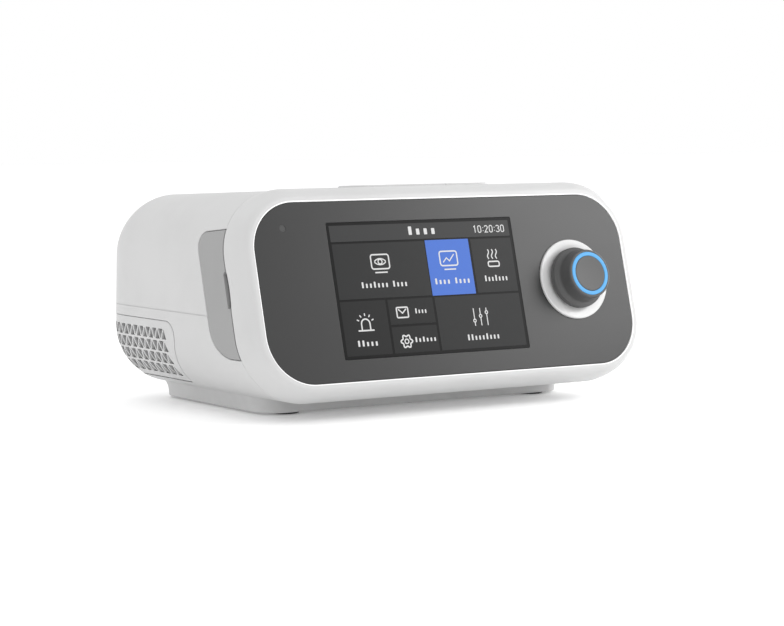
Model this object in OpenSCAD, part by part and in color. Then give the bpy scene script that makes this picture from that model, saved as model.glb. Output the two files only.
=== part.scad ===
// Bilevel breathing machine for home use: an air blower in a moulded white housing,
// with a tilted front panel, a colour display, a push-and-turn knob and two top buttons.
// The front faces -Y, the top faces +Z and the feet stand on z = 0. Sizes are in mm.

/* [Body] */
// Width of the housing
body_w = 233; // [226:1:250]
// Depth from the middle of the front panel to the back wall
body_depth = 155; // [150:1:175]
// Height of the middle of the front panel above the table
face_h = 61.7; // [60:0.1:70]
// Backward tilt of the front face
face_tilt = 15; // [11:0.5:17]
// Wall thickness of the moulded housings
wall = 2.4; // [2:0.1:2.8]
// Height of the seam between the upper and the lower housing
seam_h = 49.7; // [47:0.1:53]
// Downward slope of the top towards the back
top_slope = 2.3; // [0:0.1:4]
// Clearance between parts that are seated in each other
fit = 0.3; // [0.2:0.05:0.4]

/* [Rounding] */
// Radius of the long top edges
top_r = 26; // [18:1:32]
// Radius of the long lower edges
belly_r = 30; // [24:1:34]
// Height of the belly above the table
belly_h = 8.5; // [7:0.1:11]
// Radius where the top turns into the back
back_top_r = 38; // [28:1:42]
// Radius where the belly turns into the back
back_low_r = 24; // [18:1:26]
// Inward sweep of the sides at the back
back_side_r = 18; // [12:1:24]

/* [Front bezel] */
// Width of the white border at each side of the dark front panel
panel_border = 8.1; // [7:0.1:12]
// Height of the dark front panel
panel_h = 88; // [86:0.2:92]
// Corner radius of the dark front panel
panel_r = 24; // [16:1:28]
// Thickness of the front panel
panel_t = 2; // [1.8:0.1:2.4]
// Width of the flat rim around the panel
rim_w = 2; // [1.4:0.1:2.6]
// Depth of the bezel, from its rim to the housing seam
bezel_d = 16; // [14:0.5:18]
// Height of the bezel above the middle of the panel
bezel_up = 53.5; // [51:0.1:56]
// Height of the bezel below the middle of the panel
bezel_down = 50.8; // [49:0.1:52]
// Width of the inner flange that the panel is bonded to
flange_w = 2.5; // [2:0.1:3]

/* [Display] */
// Dark border between the panel's left edge and the picture
screen_left = 40.9; // [38:0.1:46]
// Dark border between the picture and the dish of the knob
screen_gap = 12.9; // [12:0.1:18]
// Height of the visible picture
screen_h = 67; // [58:0.2:69]
// Thickness of the display module
module_t = 4.5; // [3.5:0.1:5]

/* [Knob] */
// Distance from the panel's right edge to the middle of the knob
knob_in = 33.9; // [30:0.1:36]
// Radius of the white dish around the knob
dish_r = 20.5; // [18:0.1:22]
// Radius of the knob's foot
knob_r = 15.5; // [13:0.1:16]
// Height of the knob in front of the panel's rim
knob_h = 14.5; // [12:0.1:18]
// Outer radius of the light ring on the knob
ring_r = 11.3; // [9:0.1:11.6]
// Radius of the encoder shaft
shaft_r = 3; // [2.5:0.05:3.5]
// Press travel of the knob
knob_travel = 0.8; // [0.4:0.1:0.9]

/* [Top buttons] */
// Length of the button pair along the top
pad_w = 87; // [80:1:92]
// Depth of the button pair
pad_d = 20; // [16:0.5:22]
// Height of the buttons above the top
pad_rise = 1.8; // [1.2:0.1:2.6]
// Share of the pair that the start button takes
start_share = 0.65; // [0.5:0.01:0.7]
// Press travel of the buttons
button_travel = 1; // [0.5:0.1:1]

/* [Side port flap] */
// Length of the flap along the side
flap_l = 23.5; // [22:0.5:26]
// Height of the flap above the middle of the panel
flap_up = 38; // [34:0.5:39]
// Height of the flap below the middle of the panel
flap_down = 34; // [30:0.5:35]
// Thickness of the flap
flap_t = 1.8; // [1.5:0.1:2]

/* [Inlet cover] */
// Length of the inlet cover along the side
cover_l = 83; // [76:1:88]
// Length of the inlet cover along the back
cover_back = 56; // [46:1:60]
// Height of the upper edge of the inlet cover
cover_top = 44.5; // [43:0.5:45.5]
// Height of the lower edge of the inlet cover
cover_low = 13; // [12.5:0.5:15]
// Spacing of a pair of triangular holes
tri_pitch = 6.2; // [5.6:0.1:7]
// Spacing of the rows of triangular holes
row_pitch = 6; // [5.6:0.1:6.4]
// Width of the bars between the holes
tri_bar = 1.1; // [0.9:0.1:1.4]

/* [Air path] */
// Outer radius of the air outlet, for a standard 22 mm hose cuff
outlet_r = 11; // [10:0.05:11.2]
// Inner radius of the air outlet
outlet_bore = 9; // [8:0.1:9.4]
// Length of the air outlet behind the back wall
outlet_l = 18; // [16:0.5:24]
// Middle of the air outlet, right of the body's middle
outlet_x = 38; // [34:0.5:42]
// Radius of the blower wheel
wheel_r = 26; // [22:0.5:26.5]
// Height of the blower housing
volute_h = 22; // [20:0.5:24]
// Radius of the blower motor
motor_r = 19; // [16:0.5:22]
// Height of the blower motor
motor_h = 23; // [20:0.5:25]
// Wall thickness of the blower parts
duct_wall = 1.8; // [1.4:0.1:2]

/* [Base] */
// Width of the recessed base
base_w = 174; // [170:1:182]
// Depth of the recessed base
base_d = 113; // [106:1:118]
// Corner radius of the recessed base
base_r = 12; // [8:1:16]
// Radius of the hollow curve from the base into the belly
base_fillet = 7; // [5:0.5:8]
// Radius of the rubber feet
foot_r = 7; // [5:0.5:8]

/* [Hidden] */

white = "#e6e6e4";
inner_white = "#d2d3d2";
panel_grey = "#4b4c4e";
flap_grey = "#a8a8aa";
board_green = "#2f6b4a";
steel = "#b9bcc0";
black = "#2a2b2d";

// Curve steps of every moulded corner and of round parts
corner_steps = 7;
$fn = 64;

// The front face: its middle lies at [0, face_y, face_h] and leans back by face_tilt
knob_edge = ring_r + 1.3;
face_y = (knob_h * cos(face_tilt) + knob_edge * sin(face_tilt) - body_depth - outlet_l) / 2;
back_y = face_y + body_depth;
half_w = body_w / 2;
panel_w = body_w - 2 * panel_border;
knob_x = panel_w / 2 - knob_in;
screen_w = panel_w - screen_left - screen_gap - knob_in - dish_r;
screen_x = screen_left + (screen_w - panel_w) / 2;

function face_point(v, d) = [
    face_y + v * sin(face_tilt) + d * cos(face_tilt),
    face_h + v * cos(face_tilt) - d * sin(face_tilt)];
function mix(a, b, q) = a + (b - a) * q;

seam_up = face_point(bezel_up, bezel_d);
seam_down = face_point(-bezel_down, bezel_d);
bezel_r = panel_r + 9;
top_back = seam_up.y - (back_y - back_top_r - seam_up.x) * tan(top_slope);
function top_z(y) = seam_up.y - (y - seam_up.x) * tan(top_slope);

// Closed outline of a rounded rectangle from [-w, 0] to [w, h], with its corner radii
function corner(cx, cy, r, from) = [for (i = [0:corner_steps])
    let (a = from + 90 * i / corner_steps) [cx + r * cos(a), cy + r * sin(a)]];
function outline(w, h, r_up, r_low) = concat(
    corner(w - r_up, h - r_up, r_up, 0),
    corner(r_up - w, h - r_up, r_up, 90),
    corner(r_low - w, r_low, r_low, 180),
    corner(w - r_low, r_low, r_low, 270));

// One flat section of the body, standing on low and leaning to high, both [y, z]
function section(low, high, w, r_up, r_low) = let (
    h = norm(high - low), up = (high - low) / h)
    [for (p = outline(w, h, r_up, r_low)) [p.x, low.x + p.y * up.x, low.y + p.y * up.y]];

// Section of the bezel: a turns from its rim at 0 to the housing seam at 90 degrees
function bezel_section(a, inset, d) = section(
    face_point(-mix(panel_h / 2 + rim_w, bezel_down, sin(a)) + inset, d),
    face_point(mix(panel_h / 2 + rim_w, bezel_up, sin(a)) - inset, d),
    mix(panel_w / 2 + rim_w, half_w, sin(a)) - inset,
    mix(panel_r + rim_w, bezel_r, sin(a)) - inset,
    mix(panel_r + rim_w, bezel_r, sin(a)) - inset);
function bezel_depth_at(a) = bezel_d * (1 - cos(a));
function bezel_angle_at(d) = acos(1 - d / bezel_d);

// Section of the housing: q runs from the seam to the back corner, then a turns it
function body_section(q, a, inset) = let (
    s = sin(a), c = 1 - cos(a),
    up_r = back_top_r - inset, low_r = back_low_r - inset,
    low = [mix(seam_down.x, back_y - back_low_r, q) + low_r * s,
        mix(seam_down.y, belly_h, q) + inset + low_r * c],
    high = [mix(seam_up.x, back_y - back_top_r, q) + up_r * s,
        mix(seam_up.y, top_back, q) - inset - up_r * c],
    w = half_w - inset - (back_side_r - inset) * c,
    tighten = 1 - 0.7 * c)
    section(low, high, w,
        (mix(bezel_r, top_r, min(1, 2 * q)) - inset) * tighten,
        (mix(bezel_r, belly_r, min(1, 2 * q)) - inset) * tighten);

// Convex solid around flat sections with the same number of points
module solid_around(sections) {
    n = len(sections[0]);
    hull()
        polyhedron(
            points = [for (s = sections, p = s) p],
            faces = [for (k = [0:len(sections) - 1]) [for (i = [0:n - 1]) k * n + i]]);
}

// Solid form of the housing behind the seam, drawn in by inset; open reaches forward
module body_form(inset, open = 0) {
    solid_around(concat(
        [for (q = [-open, 0.25, 0.5, 1]) body_section(q, 0, inset)],
        [for (a = [15:15:90]) body_section(1, a, inset)]));
}

// Local frame of the front face: x to the right, y up the slope, z out of the face
module on_face(x = 0, y = 0, z = 0) {
    translate([0, face_y, face_h])
        rotate([90 - face_tilt, 0, 0])
            translate([x, y, z])
                children();
}

// Plate with round corners made from true arcs, on z = 0
module round_rect(w, h, r) {
    square([w - 2 * r, h], center = true);
    square([w, h - 2 * r], center = true);
    for (x = [-1, 1], y = [-1, 1])
        translate([x * (w / 2 - r), y * (h / 2 - r)])
            circle(r = r);
}
module plate(w, h, r, t) {
    linear_extrude(height = t)
        round_rect(w, h, r);
}
module box(low, high) {
    translate(low)
        cube(high - low);
}
module tube(r_out, r_in, h, over = 1) {
    difference() {
        cylinder(r = r_out, h = h);
        translate([0, 0, -over])
            cylinder(r = r_in, h = h + 2 * over);
    }
}

// Depths behind the rim, in the frame of the front face
panel_d = 0.4;
panel_back = panel_d + panel_t;
gasket_t = 0.6;
flange_front = panel_back + gasket_t;
flange_t = 2;
lens_t = 1.1;
lens_step = 2;
lens_fit = 0.2;
lens_sunk = 0.2;
board_d = 12;
board_t = 1.6;

// Shallow finger scoop across the bezel and the flap, with a slot for the nail
scoop_v = 6;
scoop_l = 26;
scoop_w = 9;
scoop_depth = 1.3;
nail_l = 18;
nail_w = 1.6;
nail_d = 4.5;
function arc_radius(chord, rise) = (chord * chord / 4 + rise * rise) / (2 * rise);
module finger_scoop() {
    along_r = arc_radius(scoop_l, scoop_depth);
    across_r = arc_radius(scoop_w, scoop_depth);
    on_face(scoop_depth - half_w - across_r, scoop_v, -bezel_d)
        rotate([-90, 0, 0])
            rotate_extrude($fn = 96)
                intersection() {
                    translate([across_r - along_r, 0])
                        circle(r = along_r, $fn = 192);
                    translate([0, -scoop_l])
                        square([across_r + 1, 2 * scoop_l]);
                }
    on_face(-half_w - 1, scoop_v, -bezel_d - nail_w / 4) {
        translate([0, -(nail_l - nail_w) / 2, -nail_w / 2])
            cube([nail_d, nail_l - nail_w, nail_w]);
        for (v = [-1, 1])
            translate([0, v * (nail_l - nail_w) / 2, 0])
                rotate([0, 90, 0])
                    cylinder(d = nail_w, h = nail_d);
    }
}

module front_bezel() {
    color(white)
        difference() {
            solid_around([for (a = [0:11.25:90]) bezel_section(a, 0, bezel_depth_at(a))]);
            flange_a = bezel_angle_at(flange_front + flange_t);
            solid_around(concat([for (k = [0:4]) let (a = mix(flange_a, 90, k / 4))
                bezel_section(a, wall, bezel_depth_at(a))],
                [bezel_section(90, wall, bezel_d + 1)]));
            on_face(0, 0, -flange_front)
                plate(panel_w + fit, panel_h + fit, panel_r + fit / 2, flange_front + 1);
            on_face(0, 0, -bezel_d)
                plate(panel_w - 2 * flange_w, panel_h - 2 * flange_w, panel_r - flange_w, bezel_d);
            finger_scoop();
        }
    color(white)
        bezel_spigot();
}

// Spigot behind the bezel: it centres the ends of both housings on the bezel
spigot_t = 1.2;
module bezel_spigot() {
    reach = 0.035;
    difference() {
        union() {
            solid_around([for (d = [3, 0.5]) bezel_section(90, wall - 0.3, bezel_d - d)]);
            solid_around([for (q = [-0.01, reach]) body_section(q, 0, wall + fit)]);
        }
        solid_around([for (q = [-0.05, 2 * reach]) body_section(q, 0, wall + fit + spigot_t)]);
        side_prism(-half_w - 2, 20)
            flap_outline(2, -5);
        on_top(pad_x, pad_y, -20)
            linear_extrude(height = 30)
                round_rect(pad_w + 4, pad_d + 4, pad_d / 2 + 1.9);
    }
}

module front_panel() {
    color(panel_grey)
        on_face(0, 0, -panel_back)
            difference() {
                plate(panel_w, panel_h, panel_r, panel_t);
                translate([screen_x, 0, -1])
                    plate(screen_w, screen_h, 0.8, panel_t + 2);
                translate([screen_x, 0, -1])
                    plate(screen_w + 2 * lens_step + fit, screen_h + 2 * lens_step + fit, 1, 1 + lens_t + 0.1);
                translate([knob_x, 0, -1])
                    cylinder(r = dish_r - dish_lip + fit / 2, h = panel_t + 2);
                translate([sensor_x, sensor_v, -1])
                    cylinder(r = sensor_r + 0.05, h = panel_t + 2);
            }
}

module panel_gasket() {
    color(black)
        on_face(0, 0, -flange_front)
            difference() {
                plate(panel_w - 0.6, panel_h - 0.6, panel_r - fit, gasket_t);
                translate([0, 0, -1])
                    plate(panel_w - 2 * flange_w + 0.4, panel_h - 2 * flange_w + 0.4, panel_r - flange_w, gasket_t + 2);
            }
}

// The small window of the room light sensor, left above the display
sensor_x = 16.8 - panel_w / 2;
sensor_v = 31.5;
sensor_r = 1.6;
module sensor_window() {
    color("#77797b")
        on_face(sensor_x, sensor_v, -panel_back)
            cylinder(r = sensor_r, h = panel_t - 0.1);
}

module display_lens() {
    color("#16181b")
        on_face(screen_x, 0, -panel_back) {
            plate(screen_w + 2 * lens_step, screen_h + 2 * lens_step, 1, lens_t);
            plate(screen_w - lens_fit, screen_h - lens_fit, 0.7, panel_t - lens_sunk);
        }
}

module_rim_w = 6;
module_rim_h = 4.6;
module display_module() {
    color(steel)
        on_face(screen_x, 0, -panel_back - 0.2 - module_t)
            difference() {
                plate(screen_w + 2 * module_rim_w, screen_h + 2 * module_rim_h, 1.5, module_t);
                translate([0, 0, module_t - 0.3])
                    plate(screen_w, screen_h, 0.5, 1);
            }
}

// Moulded frame behind the panel: it carries the display module and the control board
carrier_t = 1.6;
post_r = 2.6;
post_in = 12.4;
post_gap = 5.2;
post_v = panel_h / 2 - 11;
post_x = [post_in - panel_w / 2, screen_x - screen_w / 2 - module_rim_w - post_gap,
    screen_x + screen_w / 2 + module_rim_w + post_gap, panel_w / 2 - post_in];
module display_carrier() {
    carrier_back = panel_back + fit + carrier_t;
    color(inner_white)
        on_face() {
            difference() {
                translate([0, 0, -carrier_back])
                    plate(panel_w - 2 * flange_w - 2 * fit, panel_h - 2 * flange_w - 2 * fit,
                        panel_r - flange_w - fit, carrier_t);
                translate([screen_x, 0, -carrier_back - 1])
                    plate(screen_w + 2 * module_rim_w + 2 * fit, screen_h + 2 * module_rim_h + 2 * fit,
                        1.5, carrier_t + 2);
                translate([knob_x, 0, -carrier_back - 1])
                    cylinder(r = dish_r + fit, h = carrier_t + 2);
            }
            for (x = post_x, v = [-post_v, post_v])
                translate([x, v, -board_d])
                    difference() {
                        cylinder(r = post_r, h = board_d - carrier_back + 0.5, $fn = 32);
                        translate([0, 0, -1])
                            cylinder(r = 1.25, h = 5, $fn = 32);
                    }
        }
}

// Control board behind the display, with the processor side facing back
control_w = panel_w - 12.8;
control_h = panel_h - 10;
module control_board() {
    color(board_green)
        on_face() {
            difference() {
                translate([0, 0, -board_d - board_t])
                    plate(control_w, control_h, 6, board_t);
                for (x = post_x, v = [-post_v, post_v])
                    translate([x, v, -board_d - board_t - 1])
                        cylinder(r = 1.5, h = board_t + 2, $fn = 32);
            }
            for (c = [[-27, -6, 16, 16], [1, 14, 9, 12], [35, -12, 12, 9]])
                translate([screen_x + c[0], c[1], -board_d - board_t - 1.4])
                    linear_extrude(height = 1.4)
                        square([c[2], c[3]], center = true);
        }
}

// Push-and-turn encoder: heights are in the frame of the front face
encoder_front = -6;
encoder_w = 14;
bush_r = 4.6;
bush_top = -3.4;
cavity_r = 5.4;
cavity_low = -11.4;
cavity_up = -7;
running = 0.04;
flat_cut = 0.7;
module encoder_body() {
    color("#8b8f94")
        on_face(knob_x)
            difference() {
                union() {
                    translate([-encoder_w / 2, -encoder_w / 2, -board_d])
                        cube([encoder_w, encoder_w, board_d + encoder_front]);
                    translate([0, 0, encoder_front])
                        cylinder(r = bush_r, h = bush_top - encoder_front);
                }
                translate([0, 0, cavity_low])
                    cylinder(r = cavity_r, h = cavity_up - cavity_low);
                translate([0, 0, cavity_up - 0.01])
                    cylinder(r = shaft_r + running, h = bush_top - cavity_up + 1);
            }
}

rotor_low = -9.2;
rotor_up = -7.2;
shaft_low = -9.6;
module encoder_rotor() {
    color(steel)
        on_face(knob_x, 0, rotor_low)
            difference() {
                cylinder(r = cavity_r - 0.2, h = rotor_up - rotor_low);
                translate([0, 0, -1])
                    difference() {
                        cylinder(r = shaft_r + running, h = rotor_up - rotor_low + 2);
                        translate([-shaft_r - 1, shaft_r - flat_cut + running, -1])
                            cube([2 * shaft_r + 2, 2, rotor_up - rotor_low + 4]);
                    }
            }
}

// The shaft has a flat at both ends: below for the rotor, above for the knob
shaft_up = 9;
flat_low_end = -6;
flat_up_start = 1;
module knob_shaft() {
    color(steel)
        on_face(knob_x)
            difference() {
                translate([0, 0, shaft_low])
                    cylinder(r = shaft_r, h = shaft_up - shaft_low);
                translate([-shaft_r - 1, shaft_r - flat_cut, shaft_low - 1])
                    cube([2 * shaft_r + 2, 2, flat_low_end - shaft_low + 1]);
                translate([-shaft_r - 1, shaft_r - flat_cut, flat_up_start])
                    cube([2 * shaft_r + 2, 2, shaft_up]);
            }
}

// White dish that the knob sits in; its rim lies on the panel
dish_lip = 0.9;
dish_rise = 0.9;
dish_floor = -3;
dish_t = 1.6;
module knob_dish() {
    body_r = dish_r - dish_lip;
    color(white)
        on_face(knob_x)
            rotate_extrude($fn = 96)
                polygon([[bush_r + 0.2, dish_floor - dish_t], [body_r, dish_floor - dish_t],
                    [body_r, -panel_d], [dish_r, -panel_d], [dish_r, dish_rise - 0.5],
                    [dish_r - 0.5, dish_rise], [dish_r - 1.3, dish_rise],
                    for (i = [0:6]) let (q = i / 6)
                        [mix(dish_r - 1.5, knob_r + 0.7, q),
                            mix(dish_rise - 0.1, dish_floor, 1 - pow(1 - q, 1.6))],
                    [bush_r + 0.2, dish_floor]]);
}

// Knob: a foot, a waist and a slightly tapered grip, open at the back
knob_floor = dish_floor + knob_travel + 0.2;
waist_r = ring_r + 1.9;
grip_r = ring_r + 1.7;
knob_wall = 1.5;
hub_r = shaft_r + 2;
ring_seat = 10.5;
module knob() {
    color("#55575a")
        on_face(knob_x)
            difference() {
                rotate_extrude($fn = 96)
                    polygon([[hub_r, knob_floor + 3], [hub_r, ring_seat - 2.5],
                        [waist_r - knob_wall, ring_seat - 2.5], [waist_r - knob_wall, 4.6],
                        [knob_r - knob_wall, 2], [knob_r - knob_wall, knob_floor],
                        [knob_r - 0.3, knob_floor], [knob_r, knob_floor + 0.3], [knob_r, 1.6],
                        [knob_r - 0.5, 2.6],
                        for (i = [0:5]) let (a = 90 * i / 5)
                            [waist_r + (knob_r - 0.9 - waist_r) * (1 - sin(a)), 2.9 + 2.6 * (1 - cos(a))],
                        [grip_r, knob_h - 3], [knob_edge, knob_h - 0.9], [knob_edge - 0.4, knob_h - 0.2],
                        [knob_edge - 0.8, knob_h], [ring_r + 0.1, knob_h],
                        [ring_r + 0.1, ring_seat], [0, ring_seat], [0, knob_floor + 3]]);
                translate([0, 0, knob_floor - 1])
                    difference() {
                        cylinder(r = shaft_r + 0.02, h = shaft_up - knob_floor + 1.2);
                        translate([-shaft_r - 1, shaft_r - flat_cut + 0.02, flat_up_start - knob_floor + 1.1])
                            cube([2 * shaft_r + 2, 2, shaft_up]);
                    }
            }
}

ring_w = 2.2;
module knob_light_ring() {
    color("#6fbdf5")
        on_face(knob_x, 0, ring_seat)
            rotate_extrude($fn = 96)
                polygon([[ring_r - ring_w, 0], [ring_r, 0], [ring_r, knob_h - ring_seat],
                    [ring_r - 0.3, knob_h - ring_seat + 0.2], [ring_r - ring_w + 0.2, knob_h - ring_seat + 0.2],
                    [ring_r - ring_w, knob_h - ring_seat]]);
}

module knob_cap() {
    cap_r = ring_r - ring_w - 0.05;
    color("#737678")
        on_face(knob_x, 0, ring_seat)
            rotate_extrude($fn = 96)
                polygon([[0, 0], [cap_r, 0], [cap_r, knob_h - ring_seat - 0.1],
                    [cap_r - 0.3, knob_h - ring_seat + 0.1], [0, knob_h - ring_seat + 0.1]]);
}

// Local frame of the top surface: x to the right, y to the back, z out of the top
module on_top(x, y, z = 0) {
    translate([0, y, top_z(y)])
        rotate([-top_slope, 0, 0])
            translate([x, 0, z])
                children();
}
pad_x = 5;
pad_gap = 2.5;
pad_y = seam_up.x + pad_gap + pad_d / 2;
split_x = mix(-pad_w / 2, pad_w / 2, start_share);
split_gap = 0.5;
pad_bevel = 0.9;
lip = 1;
lip_up = -wall - 0.8;
lip_low = lip_up - 1;
stem_low = lip_low - 0.8;
mat_up = stem_low - button_travel - 0.1;
mat_t = 0.8;
switch_x = [mix(-pad_w / 2, split_x, 0.5), mix(split_x, pad_w / 2, 0.5)];

// Part of the button outline between two places along the top
module pad_outline(inset, from, to) {
    intersection() {
        round_rect(pad_w - 2 * inset, pad_d - 2 * inset, pad_d / 2 - inset - 0.05);
        translate([from, -pad_d])
            square([to - from, 2 * pad_d]);
    }
}

// A button cap from one place along the top to another, with a stem over its switch
module button_cap(from, to, stem_x) {
    bevel_z = pad_rise - pad_bevel;
    on_top(pad_x, pad_y) {
        translate([0, 0, lip_low])
            linear_extrude(height = bevel_z - lip_low)
                pad_outline(fit / 2, from, to);
        hull() {
            translate([0, 0, bevel_z])
                linear_extrude(height = 0.01)
                    pad_outline(fit / 2, from, to, $fn = 32);
            translate([0, 0, pad_rise - 0.01])
                linear_extrude(height = 0.01)
                    pad_outline(fit / 2 + pad_bevel, from + 0.4, to - 0.4, $fn = 32);
        }
        translate([0, 0, lip_low])
            linear_extrude(height = lip_up - lip_low)
                pad_outline(-lip, from, to);
        translate([stem_x, 0, stem_low])
            cylinder(r = 2.2, h = lip_low - stem_low + 0.1);
    }
}
module start_button() {
    color("#f1f1f0")
        button_cap(-pad_w / 2 - lip, split_x - split_gap / 2, switch_x[0]);
}
module ramp_button() {
    color("#f1f1f0")
        button_cap(split_x + split_gap / 2, pad_w / 2 + lip, switch_x[1]);
}

// Silicone mat and small board under the buttons, hung from posts of the upper housing
mat_post_x = pad_w / 2 + 5;
mat_w = 2 * mat_post_x + 8;
module button_mat() {
    color("#c9cbcc")
        on_top(pad_x, pad_y, mat_up - mat_t)
            difference() {
                union() {
                    plate(mat_w, pad_d + 2, 3, mat_t - 0.1);
                    for (x = switch_x)
                        translate([x, 0, 0])
                            cylinder(r1 = 4.2, r2 = 3, h = mat_t);
                }
                for (x = [-mat_post_x, mat_post_x])
                    translate([x, 0, -1])
                        cylinder(r = 1.5, h = mat_t + 2, $fn = 32);
            }
}
module button_board() {
    color(board_green)
        on_top(pad_x, pad_y, mat_up - mat_t - board_t)
            difference() {
                plate(mat_w, pad_d + 2, 3, board_t);
                for (x = [-mat_post_x, mat_post_x])
                    translate([x, 0, -1])
                        cylinder(r = 1.5, h = board_t + 2, $fn = 32);
            }
}

// The recessed base below the belly
base_set = 24.3;
base_y = face_y + base_set;
base_lift = 1;
floor_t = wall;
floor_z = base_lift + floor_t;
function base_section(z, grow) = [for (p = outline(base_w / 2 + grow, base_d + 2 * grow,
    base_r + grow, base_r + grow)) [p.x, base_y - grow + p.y, z]];
module base_form() {
    fillet_z = belly_h - base_fillet + 1.8;
    profile = concat([base_section(base_lift, -0.8), base_section(base_lift + 0.8, 0)],
        [for (a = [0:15:75]) base_section(fillet_z + base_fillet * sin(a), base_fillet * (1 - cos(a)))]);
    for (i = [0:len(profile) - 2])
        solid_around([profile[i], profile[i + 1]]);
}

// Corner bosses of the housings: a deep screw channel below, a pillar above
boss_x = base_w / 2 - 9;
boss_y = [base_y + 16, base_y + base_d - 10];
boss_r = 4.2;
screw_r = 1.45;
head_r = 2.8;
head_h = 2.4;
head_z = seam_h - 12;
screw_l = 20;
module at_bosses() {
    for (x = [-boss_x, boss_x], y = boss_y)
        translate([x, y, 0])
            children();
}

// Outline of the side flap: x is the depth behind the rim, y the height
flap_r_up = 10;
flap_r_low = 14;
flap_end = bezel_d + flap_l;
flap_front = bezel_d + 0.6;
module side_prism(x, length) {
    on_face(x)
        rotate([0, 90, 0])
            linear_extrude(height = length)
                children();
}
module flap_outline(grow, front) {
    intersection() {
        hull() {
            translate([flap_end - flap_r_up, flap_up - flap_r_up])
                circle(r = flap_r_up + grow, $fn = 48);
            translate([flap_end - flap_r_low, flap_r_low - flap_down])
                circle(r = flap_r_low + grow, $fn = 48);
            translate([0, -flap_down - grow])
                square([1, flap_up + flap_down + 2 * grow]);
        }
        translate([front, -body_w])
            square([body_w, 2 * body_w]);
    }
}
module front_form(inset) {
    solid_around([for (q = [-0.05, 0.25, 0.5]) body_section(q, 0, inset)]);
}

// Soft side flap: it swings on its thin back edge, which lies in the outer face
module port_flap() {
    color(flap_grey)
        difference() {
            intersection() {
                front_form(0);
                side_prism(-half_w - 2, 30)
                    flap_outline(0, flap_front);
            }
            front_form(flap_t);
            finger_scoop();
        }
}

// Clamped strip of the flap's moulding, under the housing wall behind its back edge
strip_low = -11;
strip_up = 25;
strip_d = wall + fit;
strip_t = 1.5;
strip_behind = 6;
strip_ahead = 4;
module flap_strip() {
    color(flap_grey)
        on_face(-half_w) {
            box([strip_d, strip_low, -flap_end - strip_behind],
                [strip_d + strip_t, strip_up, strip_ahead - flap_end]);
            box([flap_t + fit, strip_low, fit - flap_end], [strip_d + 0.1, strip_up, strip_ahead - flap_end]);
        }
}

// Tray behind the flap, with a rim that follows the inside of the housing
bay_front = bezel_d + 3.5;
bay_back = flap_end - 4.5;
bay_up = flap_up - 9;
bay_low = 9 - flap_down;
bay_in = 18;
bay_wall = 1.5;
socket_d = (bay_front + bay_back) / 2;
card_v = -9;
card_w = 28;
card_t = 3.4;
oximeter_v = 17;
oximeter_r = 5.5;
module port_bay() {
    rim_in = wall + fit;
    color(inner_white)
        difference() {
            intersection() {
                front_form(rim_in);
                union() {
                    difference() {
                        side_prism(-half_w, 30)
                            flap_outline(1.6, bezel_d + 1.5);
                        front_form(rim_in + bay_wall);
                    }
                    on_face(-half_w)
                        box([rim_in, bay_low - bay_wall, -bay_back - bay_wall],
                            [bay_in + bay_wall, bay_up + bay_wall, bay_wall - bay_front]);
                }
            }
            on_face(-half_w) {
                box([-2, bay_low, -bay_back], [bay_in, bay_up, -bay_front]);
                box([-2, strip_low - fit, -flap_end - 8],
                    [strip_d + strip_t + fit, strip_up + fit, 4 + fit - flap_end]);
                translate([bay_in - 1, oximeter_v, -socket_d])
                    rotate([0, 90, 0])
                        cylinder(r = oximeter_r + fit / 2, h = bay_wall + 2);
                box([bay_in - 1, card_v - card_w / 2 - fit / 2, -socket_d - card_t / 2 - fit / 2],
                    [bay_in + bay_wall + 1, card_v + card_w / 2 + fit / 2, fit / 2 - socket_d + card_t / 2]);
            }
        }
}

// Memory card socket: a steel shell with an open slot that faces the flap
card_slot_w = 24.4;
card_slot_t = 2.3;
socket_in = 11;
card_socket_l = 30;
card_slot_l = 27;
module card_socket() {
    color(steel)
        on_face(-half_w)
            difference() {
                box([socket_in, card_v - card_w / 2, -socket_d - card_t / 2],
                    [socket_in + card_socket_l, card_v + card_w / 2, card_t / 2 - socket_d]);
                box([socket_in - 1, card_v - card_slot_w / 2, -socket_d - card_slot_t / 2],
                    [socket_in + card_slot_l, card_v + card_slot_w / 2, card_slot_t / 2 - socket_d]);
            }
}

// Round socket of the oximeter lead, with a ring of pins and a key rib
module oximeter_socket() {
    color(black)
        on_face(-half_w + socket_in, oximeter_v, -socket_d)
            rotate([0, 90, 0]) {
                difference() {
                    cylinder(r = oximeter_r, h = 14);
                    translate([0, 0, -1])
                        cylinder(r = oximeter_r - 1.2, h = 8);
                }
                for (a = [30:60:330])
                    rotate(a)
                        translate([2.4, 0, 2])
                            cylinder(r = 0.45, h = 6, $fn = 24);
                translate([-0.6, oximeter_r - 1.9, 0.5])
                    cube([1.2, 1.2, 7]);
            }
}

// The inlet cover wraps from the left side round the back corner
cover_y = back_y - cover_l;
cover_x = cover_back - half_w;
cover_inset = 0.8;
cover_t = 2;
cover_gap = 0.6;
cover_r = 9;
module cover_region(grow) {
    translate([-half_w - 5, 0, 0])
        rotate([90, 0, 90])
            linear_extrude(height = cover_back + 5 + grow)
                hull() {
                    translate([cover_y + cover_r, cover_top - cover_r])
                        circle(r = cover_r + grow, $fn = 40);
                    translate([cover_y + cover_r, cover_low + 4])
                        circle(r = 4 + grow, $fn = 24);
                    translate([back_y + 5, cover_low - grow])
                        square([1, cover_top - cover_low + 2 * grow]);
                }
}

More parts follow.
